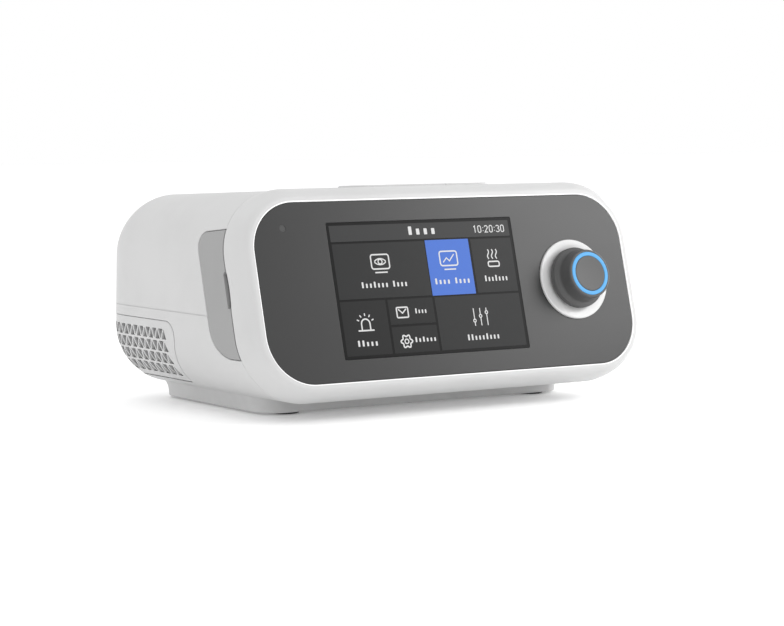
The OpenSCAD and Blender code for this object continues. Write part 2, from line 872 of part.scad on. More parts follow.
// Truss of alternate upright and inverted triangles, in columns along x and rows along y
tri_w = tri_pitch - 2 * tri_bar;
tri_h = row_pitch - tri_bar;
tri_rows = 4;
row_margin = 3.2;
row_z = cover_top - row_margin - tri_h;
module truss(from, to) {
    columns = floor((to - from) / (tri_pitch / 2));
    for (row = [0:tri_rows - 1], k = [0:columns])
        translate([from + k * tri_pitch / 2, row_z - row * row_pitch])
            polygon(k % 2 == 0
                ? [[-tri_w / 2, 0], [tri_w / 2, 0], [0, tri_h]]
                : [[-tri_w / 2, tri_h], [0, 0], [tri_w / 2, tri_h]]);
}
// Prism on a plan outline that starts at the back left corner of the body; the side and
// the back run of holes each keep to their own half of the corner
corner_reach = 26;
module mitre(points) {
    translate([-half_w, back_y, 0])
        linear_extrude(height = seam_h)
            polygon(points);
}
module inlet_cover() {
    color(white)
        difference() {
            intersection() {
                difference() {
                    body_form(cover_inset);
                    body_form(cover_inset + cover_t);
                }
                cover_region(-fit);
            }
            intersection() {
                translate([-half_w - 1, 0, 0])
                    rotate([90, 0, 90])
                        linear_extrude(height = corner_reach)
                            truss(cover_y + 7, back_y - 8);
                mitre([[-2, 2 - tri_bar], [corner_reach, -corner_reach - tri_bar], [corner_reach, -cover_l],
                    [-2, -cover_l]]);
            }
            intersection() {
                translate([0, back_y + 1, 0])
                    rotate([90, 0, 0])
                        linear_extrude(height = 16)
                            truss(-half_w + 10, cover_x - 4);
                mitre([[tri_bar - 2, 2], [corner_reach + tri_bar, -corner_reach], [cover_back, -corner_reach],
                    [cover_back, 2]]);
            }
        }
}

// Filter pad in the frame at the mouth of the inlet duct, behind the inlet cover
duct_mouth = 13;
filter_t = 6;
frame_step = 1.5;
duct_in = 10;
duct_l = 33;
duct_y = [cover_y + duct_in, cover_y + duct_in + duct_l];
duct_z = [21, 46];
module air_filter() {
    color("#eceeee")
        box([duct_mouth + fit - half_w, duct_y[0] + fit, duct_z[0] + fit],
            [duct_mouth + fit + filter_t - half_w, duct_y[1] - fit, duct_z[1] - fit]);
}

// Blower chamber: all of the air path is laid out from the air outlet's axis
wheel_x = outlet_x - wheel_r;
chamber_w = 88;
chamber_d = 84;
chamber_r = 8;
chamber_back = 30;
chamber_front = back_y - chamber_back - chamber_d;
wheel_y = chamber_front + chamber_d / 2;
chamber_z = 12.4;
chamber_up = 86;
module duct_box(from, to, grow) {
    box([from, duct_y[0] - grow, duct_z[0] - grow], [to, duct_y[1] + grow, duct_z[1] + grow]);
}
module inlet_duct() {
    mouth_x = duct_mouth - half_w;
    frame_end = mouth_x + filter_t + 2 * fit;
    chamber_x = wheel_x - chamber_w / 2;
    color(inner_white)
        difference() {
            union() {
                duct_box(mouth_x, frame_end + duct_wall, duct_wall);
                duct_box(frame_end, chamber_x, duct_wall - frame_step);
            }
            duct_box(mouth_x - 1, frame_end, 0);
            duct_box(mouth_x, chamber_x + 1, -frame_step);
        }
}

pillar_r = 3.4;
pin_r = 1.6;
lug_angle = [135, 225, 315];
lug_in = 17;
lug_at = wheel_r + lug_in;
lug_z = seam_h - 8;
lug_t = 3;
mount_t = 1.8;
module at_lugs(z) {
    translate([wheel_x, wheel_y, z])
        for (a = lug_angle)
            rotate(a)
                translate([lug_at, 0, 0])
                    children();
}
module blower_box() {
    color(inner_white) {
        difference() {
            translate([wheel_x, wheel_y, chamber_z])
                plate(chamber_w, chamber_d, chamber_r, chamber_up - chamber_z);
            translate([wheel_x, wheel_y, chamber_z + duct_wall])
                plate(chamber_w - 2 * duct_wall, chamber_d - 2 * duct_wall, chamber_r - 1.5, chamber_up);
            duct_box(wheel_x - chamber_w / 2 - 1, wheel_x - chamber_w / 2 + 3, -frame_step);
            on_outlet(wheel_y)
                cylinder(r = outlet_r + 3, h = chamber_d);
        }
        at_lugs(chamber_z + duct_wall / 2) {
            cylinder(r = pillar_r, h = lug_z - mount_t - chamber_z - duct_wall / 2, $fn = 32);
            cylinder(r = pin_r, h = lug_z + lug_t + mount_t + 1 - chamber_z - duct_wall / 2, $fn = 32);
        }
    }
}
lid_rim = 3;
module blower_lid() {
    color(inner_white)
        translate([wheel_x, wheel_y, chamber_up]) {
            plate(chamber_w, chamber_d, chamber_r, duct_wall);
            translate([0, 0, -lid_rim])
                difference() {
                    plate(chamber_w - 2 * duct_wall - fit, chamber_d - 2 * duct_wall - fit,
                        chamber_r - 1.7, lid_rim + 0.1);
                    translate([0, 0, -1])
                        plate(chamber_w - 4 * duct_wall, chamber_d - 4 * duct_wall, chamber_r - 3, lid_rim + 1);
                }
        }
}

// Three silicone spools carry the blower on the pins of its chamber
module blower_mounts() {
    color("#7f8487")
        at_lugs(lug_z - mount_t)
            rotate_extrude($fn = 32)
                polygon([[pin_r + 0.05, 0], [5, 0], [5, mount_t - 0.05], [3.1, mount_t - 0.05],
                    [3.1, mount_t + lug_t + 0.05], [5, mount_t + lug_t + 0.05],
                    [5, 2 * mount_t + lug_t], [pin_r + 0.05, 2 * mount_t + lug_t]]);
}

// Spiral of the blower housing: it grows by turn_growth on its way round to the outlet
turn_growth = 8;
spiral_r = wheel_r + 3;
spiral_steps = 60;
function spiral(grow) = [for (i = [0:spiral_steps]) let (a = 360 * i / spiral_steps)
    (spiral_r + grow + turn_growth * i / spiral_steps) * [cos(a), sin(a)]];
module volute_solid(grow, r, from, length) {
    translate([wheel_x, wheel_y, seam_h - volute_h / 2 + duct_wall - grow])
        linear_extrude(height = volute_h - 2 * duct_wall + 2 * grow)
            polygon(spiral(grow));
    on_outlet(wheel_y + from)
        cylinder(r = r, h = length);
}
volute_reach = 36;
module on_outlet(y) {
    translate([outlet_x, y, seam_h])
        rotate([-90, 0, 0])
            children();
}
module half_space(upper) {
    translate([wheel_x - body_w, wheel_y - body_w, upper ? seam_h : seam_h - body_w])
        cube([2 * body_w, 2 * body_w, body_w]);
}
module volute_half(upper) {
    difference() {
        intersection() {
            difference() {
                volute_solid(duct_wall, outlet_r, 0, volute_reach);
                volute_solid(0, outlet_bore, 0, volute_reach + 1);
            }
            half_space(upper);
        }
        children();
    }
}
inlet_r = 14;
module volute_lower() {
    color("#3a3c3f") {
        volute_half(false)
            translate([wheel_x, wheel_y, 0])
                cylinder(r = inlet_r, h = seam_h - 3);
        difference() {
            union() {
                at_lugs(lug_z)
                    cylinder(r = 6, h = lug_t);
                at_lugs(lug_z)
                    translate([-12, -3, 0])
                        cube([12, 6, lug_t]);
            }
            at_lugs(lug_z - 1)
                cylinder(r = 3.15, h = lug_t + 2);
            translate([wheel_x, wheel_y, lug_z - 1])
                linear_extrude(height = lug_t + 2)
                    polygon(spiral(duct_wall - 0.01));
        }
    }
}
bearing_r = 5;
bearing_h = 4;
rod_r = 2;
rod_below = 7;
module volute_upper() {
    color("#3a3c3f")
        volute_half(true)
            translate([wheel_x, wheel_y, seam_h])
                cylinder(r = bearing_r + 1.5, h = volute_h);
}

// Blower wheel: a disc with curved blades under it, on the motor shaft
blade_count = 11;
blade_t = 1;
blade_h = 8;
wheel_rise = 2;
wheel_z = seam_h + wheel_rise;
wheel_t = 1.2;
wheel_hub_r = 4.5;
wheel_hub_h = 11;
hub_below = 6;
module impeller() {
    color("#dfe3e6")
        translate([wheel_x, wheel_y, 0])
            difference() {
                union() {
                    translate([0, 0, wheel_z])
                        cylinder(r = wheel_r, h = wheel_t);
                    translate([0, 0, wheel_z - hub_below])
                        cylinder(r = wheel_hub_r, h = wheel_hub_h);
                    for (k = [0:blade_count - 1])
                        rotate(360 * k / blade_count)
                            translate([0, 0, wheel_z - blade_h])
                                linear_extrude(height = blade_h + 0.1)
                                    blade_outline();
                }
                cylinder(r = rod_r + 0.01, h = 100);
            }
}
// One blade, swept back from the eye to the rim
module blade_outline() {
    sweep = 55;
    root_r = 11;
    steps = 6;
    side = function (s) [for (i = [0:steps]) let (q = i / steps, r = mix(root_r, wheel_r - 0.3, q),
        a = -sweep * q + s * blade_t / r * 28.6) r * [cos(a), sin(a)]];
    polygon(concat(side(1), [for (i = [steps:-1:0]) side(-1)[i]]));
}

motor_z = seam_h + volute_h / 2;
motor_wall = 2;
bearing_z = [motor_z + motor_wall - bearing_h / 2, motor_z + motor_h - motor_wall - bearing_h / 2];
magnet_r = 10;
magnet_in = 7;
magnet_z = motor_z + magnet_in;
magnet_h = 10;
module motor_rotor() {
    color(steel)
        translate([wheel_x, wheel_y, 0]) {
            translate([0, 0, wheel_z - rod_below])
                cylinder(r = rod_r, h = motor_z + motor_h - 0.5 - wheel_z + rod_below);
            translate([0, 0, magnet_z])
                cylinder(r = magnet_r, h = magnet_h);
        }
}
module motor_case() {
    stator_r = magnet_r + 0.8;
    color("#2f3033")
        translate([wheel_x, wheel_y, motor_z])
            difference() {
                cylinder(r = motor_r, h = motor_h);
                translate([0, 0, motor_wall])
                    cylinder(r = motor_r - motor_wall, h = magnet_z - motor_z - motor_wall - 1);
                translate([0, 0, magnet_z + magnet_h + 1 - motor_z])
                    cylinder(r = motor_r - motor_wall, h = motor_h - motor_wall - magnet_z - magnet_h - 1 + motor_z);
                translate([0, 0, motor_wall])
                    cylinder(r = stator_r, h = motor_h - 2 * motor_wall);
                for (z = bearing_z)
                    translate([0, 0, z - motor_z])
                        cylinder(r = bearing_r + 0.02, h = bearing_h);
                translate([0, 0, -1])
                    cylinder(r = rod_r + 1, h = motor_h + 2);
            }
}
module motor_bearings() {
    color(steel)
        for (z = bearing_z)
            translate([wheel_x, wheel_y, z])
                tube(bearing_r, rod_r + running, bearing_h);
}

// Silicone bellows between the blower and the flow tube
seal_l = 19;
seal_y = wheel_y + volute_reach - 5;
tube_y = wheel_y + volute_reach + 8;
port_in = 12;
socket_l = 6;
module outlet_seal() {
    ridges = 4;
    color("#aeb4b8")
        on_outlet(seal_y)
            rotate_extrude()
                polygon(concat([for (i = [0:4 * ridges]) let (q = i / (4 * ridges))
                        [outlet_r + fit / 2 + 1.3 + 0.7 * sin(360 * ridges * q - 90), seal_l * q]],
                    [[outlet_r + fit / 2, seal_l], [outlet_r + fit / 2, 0]]));
}

// Flow tube with a narrow throat and two pressure taps
module flow_sensor() {
    tube_end = back_y - port_in + socket_l - fit;
    tube_l = tube_end - tube_y;
    throat_r = outlet_bore - 1.6;
    color("#55595d")
        difference() {
            union() {
                on_outlet(tube_y)
                    cylinder(r = outlet_r, h = tube_l);
                for (q = [0.35, 0.6])
                    translate([outlet_x, mix(tube_y, tube_end, q) , seam_h + outlet_r - 1])
                        cylinder(r = 1.4, h = 4.5, $fn = 32);
            }
            on_outlet(tube_y)
                rotate_extrude()
                    polygon([[0, -1], [outlet_bore, -1], [outlet_bore, 0], [throat_r, tube_l * 0.4],
                        [throat_r, tube_l * 0.55], [outlet_bore, tube_l], [outlet_bore, tube_l + 1],
                        [0, tube_l + 1]]);
            for (q = [0.35, 0.6])
                translate([outlet_x, mix(tube_y, tube_end, q), seam_h])
                    cylinder(r = 0.6, h = 20, $fn = 24);
        }
}

// Air outlet, clamped between the two housings by a groove at the wall
groove_r = outlet_r + 1.6;
flange_r = outlet_r + 4;
module air_outlet() {
    color(inner_white)
        on_outlet(back_y)
            rotate_extrude($fn = 96)
                polygon([[outlet_bore, socket_l - port_in], [outlet_r + 0.05, socket_l - port_in],
                    [outlet_r + 0.05, -port_in], [groove_r, -port_in], [groove_r, -wall - fit - 1.4],
                    [flange_r, -wall - fit - 1.4], [flange_r, -wall - fit], [groove_r, -wall - fit],
                    [groove_r, 0.05], [flange_r, 0.05], [flange_r, 1], [flange_r - 0.5, 1.5],
                    [outlet_r, 1.5], [outlet_r, outlet_l - 0.6], [outlet_r - 0.5, outlet_l],
                    [outlet_bore + 0.3, outlet_l], [outlet_bore, outlet_l - 0.3]]);
}

// Round low-voltage power socket with its centre pin
power_in = 28.5;
power_x = half_w - power_in;
power_z = 42;
power_w = 10;
power_h = 11;
jack_r = 3.2;
module power_inlet() {
    color(black)
        translate([power_x, back_y - 0.3, power_z]) {
            difference() {
                translate([-power_w / 2, -14, -power_h / 2])
                    cube([power_w, 14, power_h]);
                rotate([90, 0, 0])
                    translate([0, 0, -1])
                        cylinder(r = jack_r, h = 11);
            }
            rotate([90, 0, 0])
                translate([0, 0, 0.6])
                    cylinder(r = 1.05, h = 10, $fn = 32);
            translate([-power_w / 2 - 1.5, -wall - 1.2, -power_h / 2 - 1.5])
                difference() {
                    cube([power_w + 3, 1.2 - fit, power_h + 3]);
                    translate([1.6, -1, 1.6])
                        cube([power_w - 0.2, 4, power_h - 0.2]);
                }
        }
}

module upper_housing() {
    color(white)
        difference() {
            union() {
                difference() {
                    body_form(0);
                    body_form(wall, 0.05);
                }
                intersection() {
                    body_form(wall / 2);
                    union() {
                        at_bosses()
                            translate([0, 0, seam_h])
                                cylinder(r = boss_r, h = 100, $fn = 32);
                        for (x = [-mat_post_x, mat_post_x])
                            on_top(pad_x + x, pad_y, mat_up)
                                cylinder(r = 3, h = -mat_up, $fn = 32);
                    }
                }
            }
            translate([-body_w, -body_depth, -body_w + seam_h])
                cube([2 * body_w, 3 * body_depth, body_w]);
            on_top(pad_x, pad_y, -20)
                linear_extrude(height = 30)
                    round_rect(pad_w + fit, pad_d + fit, pad_d / 2 + fit / 2 - 0.05);
            for (x = [-mat_post_x, mat_post_x])
                on_top(pad_x + x, pad_y, mat_up - 1)
                    cylinder(r = 1.2, h = 4.5, $fn = 24);
            at_bosses()
                translate([0, 0, seam_h - 1])
                    cylinder(r = screw_r + 0.05, h = 12, $fn = 32);
            side_prism(-half_w - 2, 20)
                flap_outline(fit, -5);
            on_outlet(back_y - 10)
                cylinder(r = groove_r + 0.4, h = 20);
        }
}

speaker_in = 21;
speaker_x = base_w / 2 - speaker_in;
speaker_y = base_y + 30;
speaker_r = 14;
speaker_rim_h = 3;
speaker_h = 5;
board_z = floor_z + 3.6;
main_w = 112;
main_d = 88;
main_x = -14;
main_y = base_y + base_d / 2;
post_inset = 8;
foot_inset = 13;
module at_feet() {
    for (x = [-1, 1], y = [base_y + foot_inset, base_y + base_d - foot_inset])
        translate([x * (base_w / 2 - foot_inset), y, 0])
            children();
}
module at_chamber_posts() {
    for (x = [-1, 1], y = [-1, 1])
        translate([wheel_x + x * (chamber_w / 2 - post_inset), wheel_y + y * (chamber_d / 2 - post_inset), 0])
            children();
}
module at_main_posts() {
    for (x = [-1, 1], y = [-1, 1])
        translate([main_x + x * (main_w / 2 - 5), main_y + y * (main_d / 2 - 5), 0])
            children();
}
module lower_housing() {
    color(white)
        difference() {
            union() {
                difference() {
                    union() {
                        body_form(0);
                        base_form();
                    }
                    body_form(wall, 0.05);
                    translate([0, base_y + base_d / 2, floor_z])
                        plate(base_w - 2 * wall, base_d - 2 * wall, base_r - wall, belly_h + wall);
                }
                intersection() {
                    difference() {
                        body_form(wall - 0.1);
                        body_form(cover_inset + cover_t + cover_gap + 1.5);
                    }
                    difference() {
                        cover_region(3);
                        cover_region(-3);
                    }
                }
                at_bosses()
                    translate([0, 0, floor_z - 1])
                        cylinder(r = boss_r, h = seam_h - floor_z + 1, $fn = 32);
                at_main_posts()
                    translate([0, 0, floor_z - 1])
                        cylinder(r = 2.6, h = board_z - floor_z + 1, $fn = 24);
                at_chamber_posts()
                    translate([0, 0, floor_z - 1])
                        cylinder(r = 3, h = chamber_z - floor_z + 1, $fn = 24);
                translate([speaker_x, speaker_y, floor_z - 1])
                    tube(speaker_r + fit + 1.2, speaker_r + fit, 3);
            }
            translate([-body_w, -body_depth, seam_h])
                cube([2 * body_w, 3 * body_depth, body_w]);
            difference() {
                cover_region(0);
                body_form(cover_inset + cover_t + cover_gap);
            }
            at_bosses() {
                translate([0, 0, -1])
                    cylinder(r = head_r + 0.5, h = head_z + 1, $fn = 32);
                cylinder(r = screw_r + 0.25, h = seam_h + 1, $fn = 32);
            }
            at_main_posts()
                translate([0, 0, board_z - 4])
                    cylinder(r = 1.2, h = 5, $fn = 24);
            at_feet()
                cylinder(r = foot_r + fit, h = base_lift + 1.2, $fn = 48);
            side_prism(-half_w - 2, 20)
                flap_outline(fit, -5);
            on_outlet(back_y - 10)
                cylinder(r = groove_r + 0.4, h = 20);
            box([power_x - power_w / 2 - fit, back_y - 10, power_z - power_h / 2 - fit],
                [power_x + power_w / 2 + fit, back_y + 2, power_z + power_h / 2 + fit]);
            for (k = [-3:3])
                translate([speaker_x + 3.4 * k - 0.7, speaker_y - 7, 0])
                    cube([1.4, 14, floor_z + 1]);
        }
}

// Main board in the base, with its connectors, chips and capacitors
module main_board() {
    color(board_green)
        translate([main_x, main_y, board_z]) {
            difference() {
                plate(main_w, main_d, 3, board_t);
                for (x = [-1, 1], y = [-1, 1])
                    translate([x * (main_w / 2 - 5), y * (main_d / 2 - 5), -1])
                        cylinder(r = 1.5, h = board_t + 2, $fn = 24);
                translate([-main_x, -main_y, -1])
                    at_chamber_posts()
                        cylinder(r = 3.5, h = board_t + 2, $fn = 24);
            }
            for (c = [[-20, 10, 14, 14, 1.4], [14, -8, 10, 10, 1.2], [-34, -20, 8, 12, 2], [38, 24, 12, 6, 2.2]])
                translate([c[0], c[1], board_t])
                    linear_extrude(height = c[4])
                        square([c[2], c[3]], center = true);
        }
}

module board_screws() {
    color(steel) {
        on_face()
            for (x = post_x, v = [-post_v, post_v])
                translate([x, v, -board_d - board_t])
                    rotate([180, 0, 0])
                        pan_screw();
        for (x = [-mat_post_x, mat_post_x])
            on_top(pad_x + x, pad_y, mat_up - mat_t - board_t)
                rotate([180, 0, 0])
                    pan_screw();
        at_main_posts()
            translate([0, 0, board_z + board_t])
                pan_screw();
    }
}
// Pan-head screw that stands on z = 0, its shank below
pan_screw_l = 4.5;
module pan_screw() {
    cylinder(r = 2.3, h = 1.4, $fn = 32);
    translate([0, 0, -pan_screw_l])
        cylinder(r = 1.1, h = pan_screw_l + 0.1, $fn = 32);
}

module alarm_speaker() {
    color(black)
        translate([speaker_x, speaker_y, floor_z]) {
            cylinder(r = speaker_r, h = speaker_rim_h);
            cylinder(r = speaker_r - 3, h = speaker_h);
        }
}

module housing_screws() {
    color(steel)
        at_bosses()
            translate([0, 0, head_z]) {
                translate([0, 0, -head_h])
                    cylinder(r = head_r, h = head_h, $fn = 48);
                translate([0, 0, -0.1])
                    cylinder(r = screw_r, h = screw_l, $fn = 48);
            }
}

module rubber_feet() {
    color("#3b3c3e")
        at_feet()
            rotate_extrude($fn = 48)
                polygon([[0, 0], [foot_r - 0.5, 0], [foot_r, 0.5], [foot_r, base_lift + 1.1], [0, base_lift + 1.1]]);
}

upper_housing();
lower_housing();
front_bezel();
front_panel();
panel_gasket();
display_lens();
display_module();
display_carrier();
sensor_window();
control_board();
encoder_body();
encoder_rotor();
knob_shaft();
knob_dish();
knob();
knob_light_ring();
knob_cap();
start_button();
ramp_button();
button_mat();
button_board();
port_flap();
flap_strip();
port_bay();
card_socket();
oximeter_socket();
inlet_cover();
air_filter();
inlet_duct();
blower_box();
blower_lid();
blower_mounts();
volute_lower();
volute_upper();
impeller();
motor_rotor();
motor_case();
motor_bearings();
outlet_seal();
flow_sensor();
air_outlet();
power_inlet();
main_board();
board_screws();
alarm_speaker();
housing_screws();
rubber_feet();
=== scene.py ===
# %% [markdown]
# # A bedside breathing machine, dressed for its portrait
#
# The engineering model gives every solid its place, so nothing has to be fitted here. This lesson
# adds what a solid model leaves out: mouldings whose curves are smooth at any distance, a lit
# picture behind glass, soft light, and finishes with grain and wear. All sizes are in metres in the
# scene, but the shapes are worked out in millimetres, because that is how the parts are drawn.

# %% Load the fixed frame
import math

import bmesh
import bpy
import numpy as np
from mathutils import Matrix, Vector


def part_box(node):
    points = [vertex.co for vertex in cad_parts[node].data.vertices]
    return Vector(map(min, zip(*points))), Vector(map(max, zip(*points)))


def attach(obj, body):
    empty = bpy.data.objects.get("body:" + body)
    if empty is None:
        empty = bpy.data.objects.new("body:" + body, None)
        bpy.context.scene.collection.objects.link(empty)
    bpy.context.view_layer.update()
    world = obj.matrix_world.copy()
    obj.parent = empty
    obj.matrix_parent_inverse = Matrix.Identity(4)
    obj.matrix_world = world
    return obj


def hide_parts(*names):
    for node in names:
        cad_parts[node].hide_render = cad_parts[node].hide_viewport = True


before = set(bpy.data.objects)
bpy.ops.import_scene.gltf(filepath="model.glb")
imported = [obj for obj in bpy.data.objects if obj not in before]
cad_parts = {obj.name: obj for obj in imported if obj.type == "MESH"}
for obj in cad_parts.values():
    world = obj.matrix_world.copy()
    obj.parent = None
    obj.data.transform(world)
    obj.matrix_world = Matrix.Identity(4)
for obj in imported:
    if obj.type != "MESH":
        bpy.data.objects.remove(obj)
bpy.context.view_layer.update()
MM = 0.001

# %% [markdown]
# ## The camera
#
# The portrait was taken with a long lens from the left, a little above the table. A long lens keeps
# the front face almost rectangular. The camera is built from its three directions, right, up and
# back, which is easier to check than three rotation angles.

# %% Place the camera
azimuth, elevation, roll = (math.radians(a) for a in (-32.92, 4.62, -0.31))
viewpoint = (-0.6676, -1.0541, 0.1437)
back = Vector((math.sin(azimuth) * math.cos(elevation),
               -math.cos(azimuth) * math.cos(elevation), math.sin(elevation)))
level = Vector((math.cos(azimuth), math.sin(azimuth), 0))
upright = back.cross(level)
right = level * math.cos(roll) + upright * math.sin(roll)
up = upright * math.cos(roll) - level * math.sin(roll)
camera_data = bpy.data.cameras.new("portrait_camera")
camera_data.lens = 110.55
camera_data.sensor_width = 36
camera_data.clip_start = 0.05
camera = bpy.data.objects.new("portrait_camera", camera_data)
camera.matrix_world = Matrix.Translation(viewpoint) @ Matrix(
    (right, up, back)).transposed().to_4x4()
bpy.context.scene.collection.objects.link(camera)
bpy.context.scene.camera = camera
print("camera looks along", [round(c, 3) for c in -back])

# %% [markdown]
# ## Shader sums as plain expressions
#
# A material with grain and wear needs a good deal of arithmetic on its patterns. Instead of placing
# every Math node by hand, a socket is wrapped in a small class, and `1 - mask * 0.3` then adds the
# nodes by itself. Every other node comes from one method that takes its settings and inputs.

# %% Wrap a socket
def add_node(tree, kind, settings, inputs):
    """Places a node: its settings come first, then each input gets a value or a link."""
    made = tree.nodes.new(kind)
    for key, value in (settings or {}).items():
        setattr(made, key, value)
    for key, value in (inputs or {}).items():
        if isinstance(value, bpy.types.NodeSocket):
            tree.links.new(value, made.inputs[key])
        else:
            made.inputs[key].default_value = value
    return made


class Wire:
    """An output socket that can be used in sums."""

    def __init__(self, paint, socket):
        self.paint, self.socket = paint, socket

    def sum_with(self, operation, first, second):
        return self.paint.sum(operation, first, second)

    def __add__(self, other):
        return self.sum_with("ADD", self, other)

    def __sub__(self, other):
        return self.sum_with("SUBTRACT", self, other)

    def __rsub__(self, other):
        return self.sum_with("SUBTRACT", other, self)

    def __mul__(self, other):
        return self.sum_with("MULTIPLY", self, other)

    __radd__ = __add__


class Paint:
    """A material under construction."""

    def __init__(self, name):
        self.material = bpy.data.materials.new(name)
        self.material.use_nodes = True
        self.tree = self.material.node_tree
        self.tree.nodes.clear()
        self.place = self.node("ShaderNodeTexCoord", out="Object")

    def node(self, kind, settings=None, inputs=None, out=0):
        bare = {key: value.socket if isinstance(value, Wire) else value
                for key, value in (inputs or {}).items()}
        return Wire(self, add_node(self.tree, kind, settings, bare).outputs[out])

    def sum(self, operation, *inputs):
        return self.node("ShaderNodeMath", {"operation": operation}, dict(enumerate(inputs)))

    def along(self, axis):
        return self.node("ShaderNodeSeparateXYZ", None, {"Vector": self.place}, out=axis)

    def noise(self, scale, detail=2, rough=0.5, stretch=None, distortion=0.0):
        """Noise on the piece; stretch is the pattern's own scale along x, y and z."""
        place = self.place if stretch is None else self.node(
            "ShaderNodeMapping", {"vector_type": "POINT"}, {
                "Vector": self.place, "Scale": stretch})
        return self.node("ShaderNodeTexNoise", {"normalize": True}, {
            "Vector": place, "Scale": scale, "Detail": detail, "Roughness": rough,
            "Distortion": distortion})

    def mix(self, amount, first, second):
        shades = [(*c, 1) if isinstance(c, tuple) else c for c in (first, second)]
        return self.node("ShaderNodeMix", {"data_type": "RGBA"}, {
            0: amount, 6: shades[0], 7: shades[1]}, out=2)

    def clamp(self, value, low, high):
        """0 where value is at low, 1 where it is at high, smooth between."""
        return self.node("ShaderNodeMapRange", {"interpolation_type": "SMOOTHSTEP"}, {
            "Value": value, "From Min": low, "From Max": high, "To Min": 0.0, "To Max": 1.0})

    def beyond_frame(self, up, level, w, h, r):
        """Distance outside a rounded rectangle in the leaning plane that x and up span."""
        upward = self.node("ShaderNodeVectorMath", {"operation": "DOT_PRODUCT"}, {
            0: self.place, 1: up}, out="Value") - level
        over = [self.sum("MAXIMUM", self.sum("ABSOLUTE", place) - (half - r), 0.0)
                for place, half in ((self.along("X"), w / 2), (upward, h / 2))]
        return self.sum("SQRT", over[0] * over[0] + over[1] * over[1]) - r

    def bump(self, height, depth):
        return self.node("ShaderNodeBump", None, {
            "Height": height, "Distance": depth, "Strength": 1.0})

    def finish(self, **sockets):
        """Ends the material in a Principled shader; fixed numbers sit on its own sockets."""
        shader = self.node("ShaderNodeBsdfPrincipled", None, {
            key.replace("_", " "): (*value, 1) if isinstance(value, tuple) else value
            for key, value in sockets.items()}, out="BSDF")
        end = self.tree.nodes.new("ShaderNodeOutputMaterial")
        self.tree.links.new(shader.socket, end.inputs["Surface"])
        return self.material


def grey(value, tint=0.0):
    """A linear colour from a screen grey of 0 to 255, bluer where tint is positive."""
    linear = ((value / 255 + 0.055) / 1.055) ** 2.4
    return (linear * (1 - tint), linear, linear * (1 + tint))


def scaled(colour, by):
    return tuple(c * by for c in colour)


print("a middle grey is", round(grey(128)[0], 3), "in light")

# %% [markdown]
# ## The studio
#
# The portrait stands on a white table in a white room, lit almost from everywhere. A small soft
# light hangs close by on the right; its dull image in the dark front panel makes the panel brighten
# towards its upper right corner. A low light in front lifts the belly, one far out on the right
# bleaches the rim there, one on the left lights the side, and the table top glows a little.

# %% Table, room and lights
scene = bpy.context.scene
scene.view_settings.view_transform = "Standard"
world = bpy.data.worlds.new("white_room")
world.use_nodes = True
world.node_tree.nodes["Background"].inputs["Color"].default_value = (1, 1, 1, 1)
world.node_tree.nodes["Background"].inputs["Strength"].default_value = 1.0
scene.world = world

table_mesh = bpy.data.meshes.new("table")
far = 6
table_mesh.from_pydata([(-far, -far, 0), (far, -far, 0), (far, far, 0), (-far, far, 0)], [],
                       [(0, 1, 2, 3)])
table = bpy.data.objects.new("table", table_mesh)
scene.collection.objects.link(table)
table_paint = Paint("table_white")
cloud = table_paint.noise(2.0)
table_mesh.materials.append(table_paint.finish(
    Base_Color=table_paint.mix(cloud, grey(250), grey(254)), Roughness=0.6,
    Emission_Color=(1, 1, 1), Emission_Strength=0.14))


def soft_light(name, place, aim, size, power):
    """A square area light that looks from one point to another."""
    data = bpy.data.lights.new(name, "AREA")
    data.size, data.energy = size, power
    lamp = bpy.data.objects.new(name, data)
    lamp.location = place
    lamp.rotation_euler = (Vector(aim) - Vector(place)).to_track_quat("-Z", "Y").to_euler()
    scene.collection.objects.link(lamp)


heart = (0.0, -0.02, 0.055)
soft_light("key_light", (0.45, -0.44, 0.32), (0.08, -0.06, 0.09), 0.3, 1.3)
soft_light("top_light", (-0.4, 0.5, 1.3), heart, 1.2, 3)
soft_light("front_light", (-0.5, -1.2, 0.12), heart, 0.7, 1.2)
soft_light("rim_light", (0.62, 0.02, 0.16), (0.1, -0.05, 0.06), 0.35, 1.6)
soft_light("side_light", (-1.3, -0.2, 0.25), (-0.2, 0, 0), 0.8, 0.5)

# %% [markdown]
# ## Finishes
#
# The housing is moulded from white plastic in a mould that was spark-eroded, so it has a fine grain
# that is only seen in the highlights. Handling polishes it here and there, and dust settles low
# down. One function makes every moulded finish; only its numbers change from piece to piece.

# %% Moulded plastics
def moulded(name, colour, rough, grain=2600, depth=0.000012, shift=0.03, coat=0.0, dust=0.0,
            rim=None):
    """Plastic with spark grain and patches that handling polishes.

    Dust settles within 30 mm of the table. A rim is a frame whose edge carries a painted highlight:
    its tone is painted near-white there, and the plastic is glossier.
    """
    paint = Paint(name)
    patches = paint.clamp(paint.noise(26, 3), 0.35, 0.7)
    fine = paint.noise(grain, 2, 0.6)
    tone = paint.mix(patches * 0.5, colour, scaled(colour, 1 - 2 * shift))
    if dust:
        low = 1 - paint.clamp(paint.along("Z"), 0.0, 0.03)
        low = low * paint.clamp(paint.noise(140, 4), 0.3, 0.8)
        tone = paint.mix(low * dust, tone, grey(150))
    shine = patches * 0.08 - fine * 0.05
    if rim:
        # Painted highlight along the rim's edge: the tone turns near-white there, and the finish
        # glossier.
        polish_and_painted_highlight = 1 - paint.clamp(paint.beyond_frame(*rim), 0.0005, 0.0009)
        tone, shine = paint.mix(polish_and_painted_highlight, tone, grey(252)), shine - polish_and_painted_highlight * 0.2
    return paint.finish(
        Base_Color=tone, Roughness=shine + rough,
        Coat_Weight=coat, Coat_Roughness=0.12, Normal=paint.bump(fine, depth))


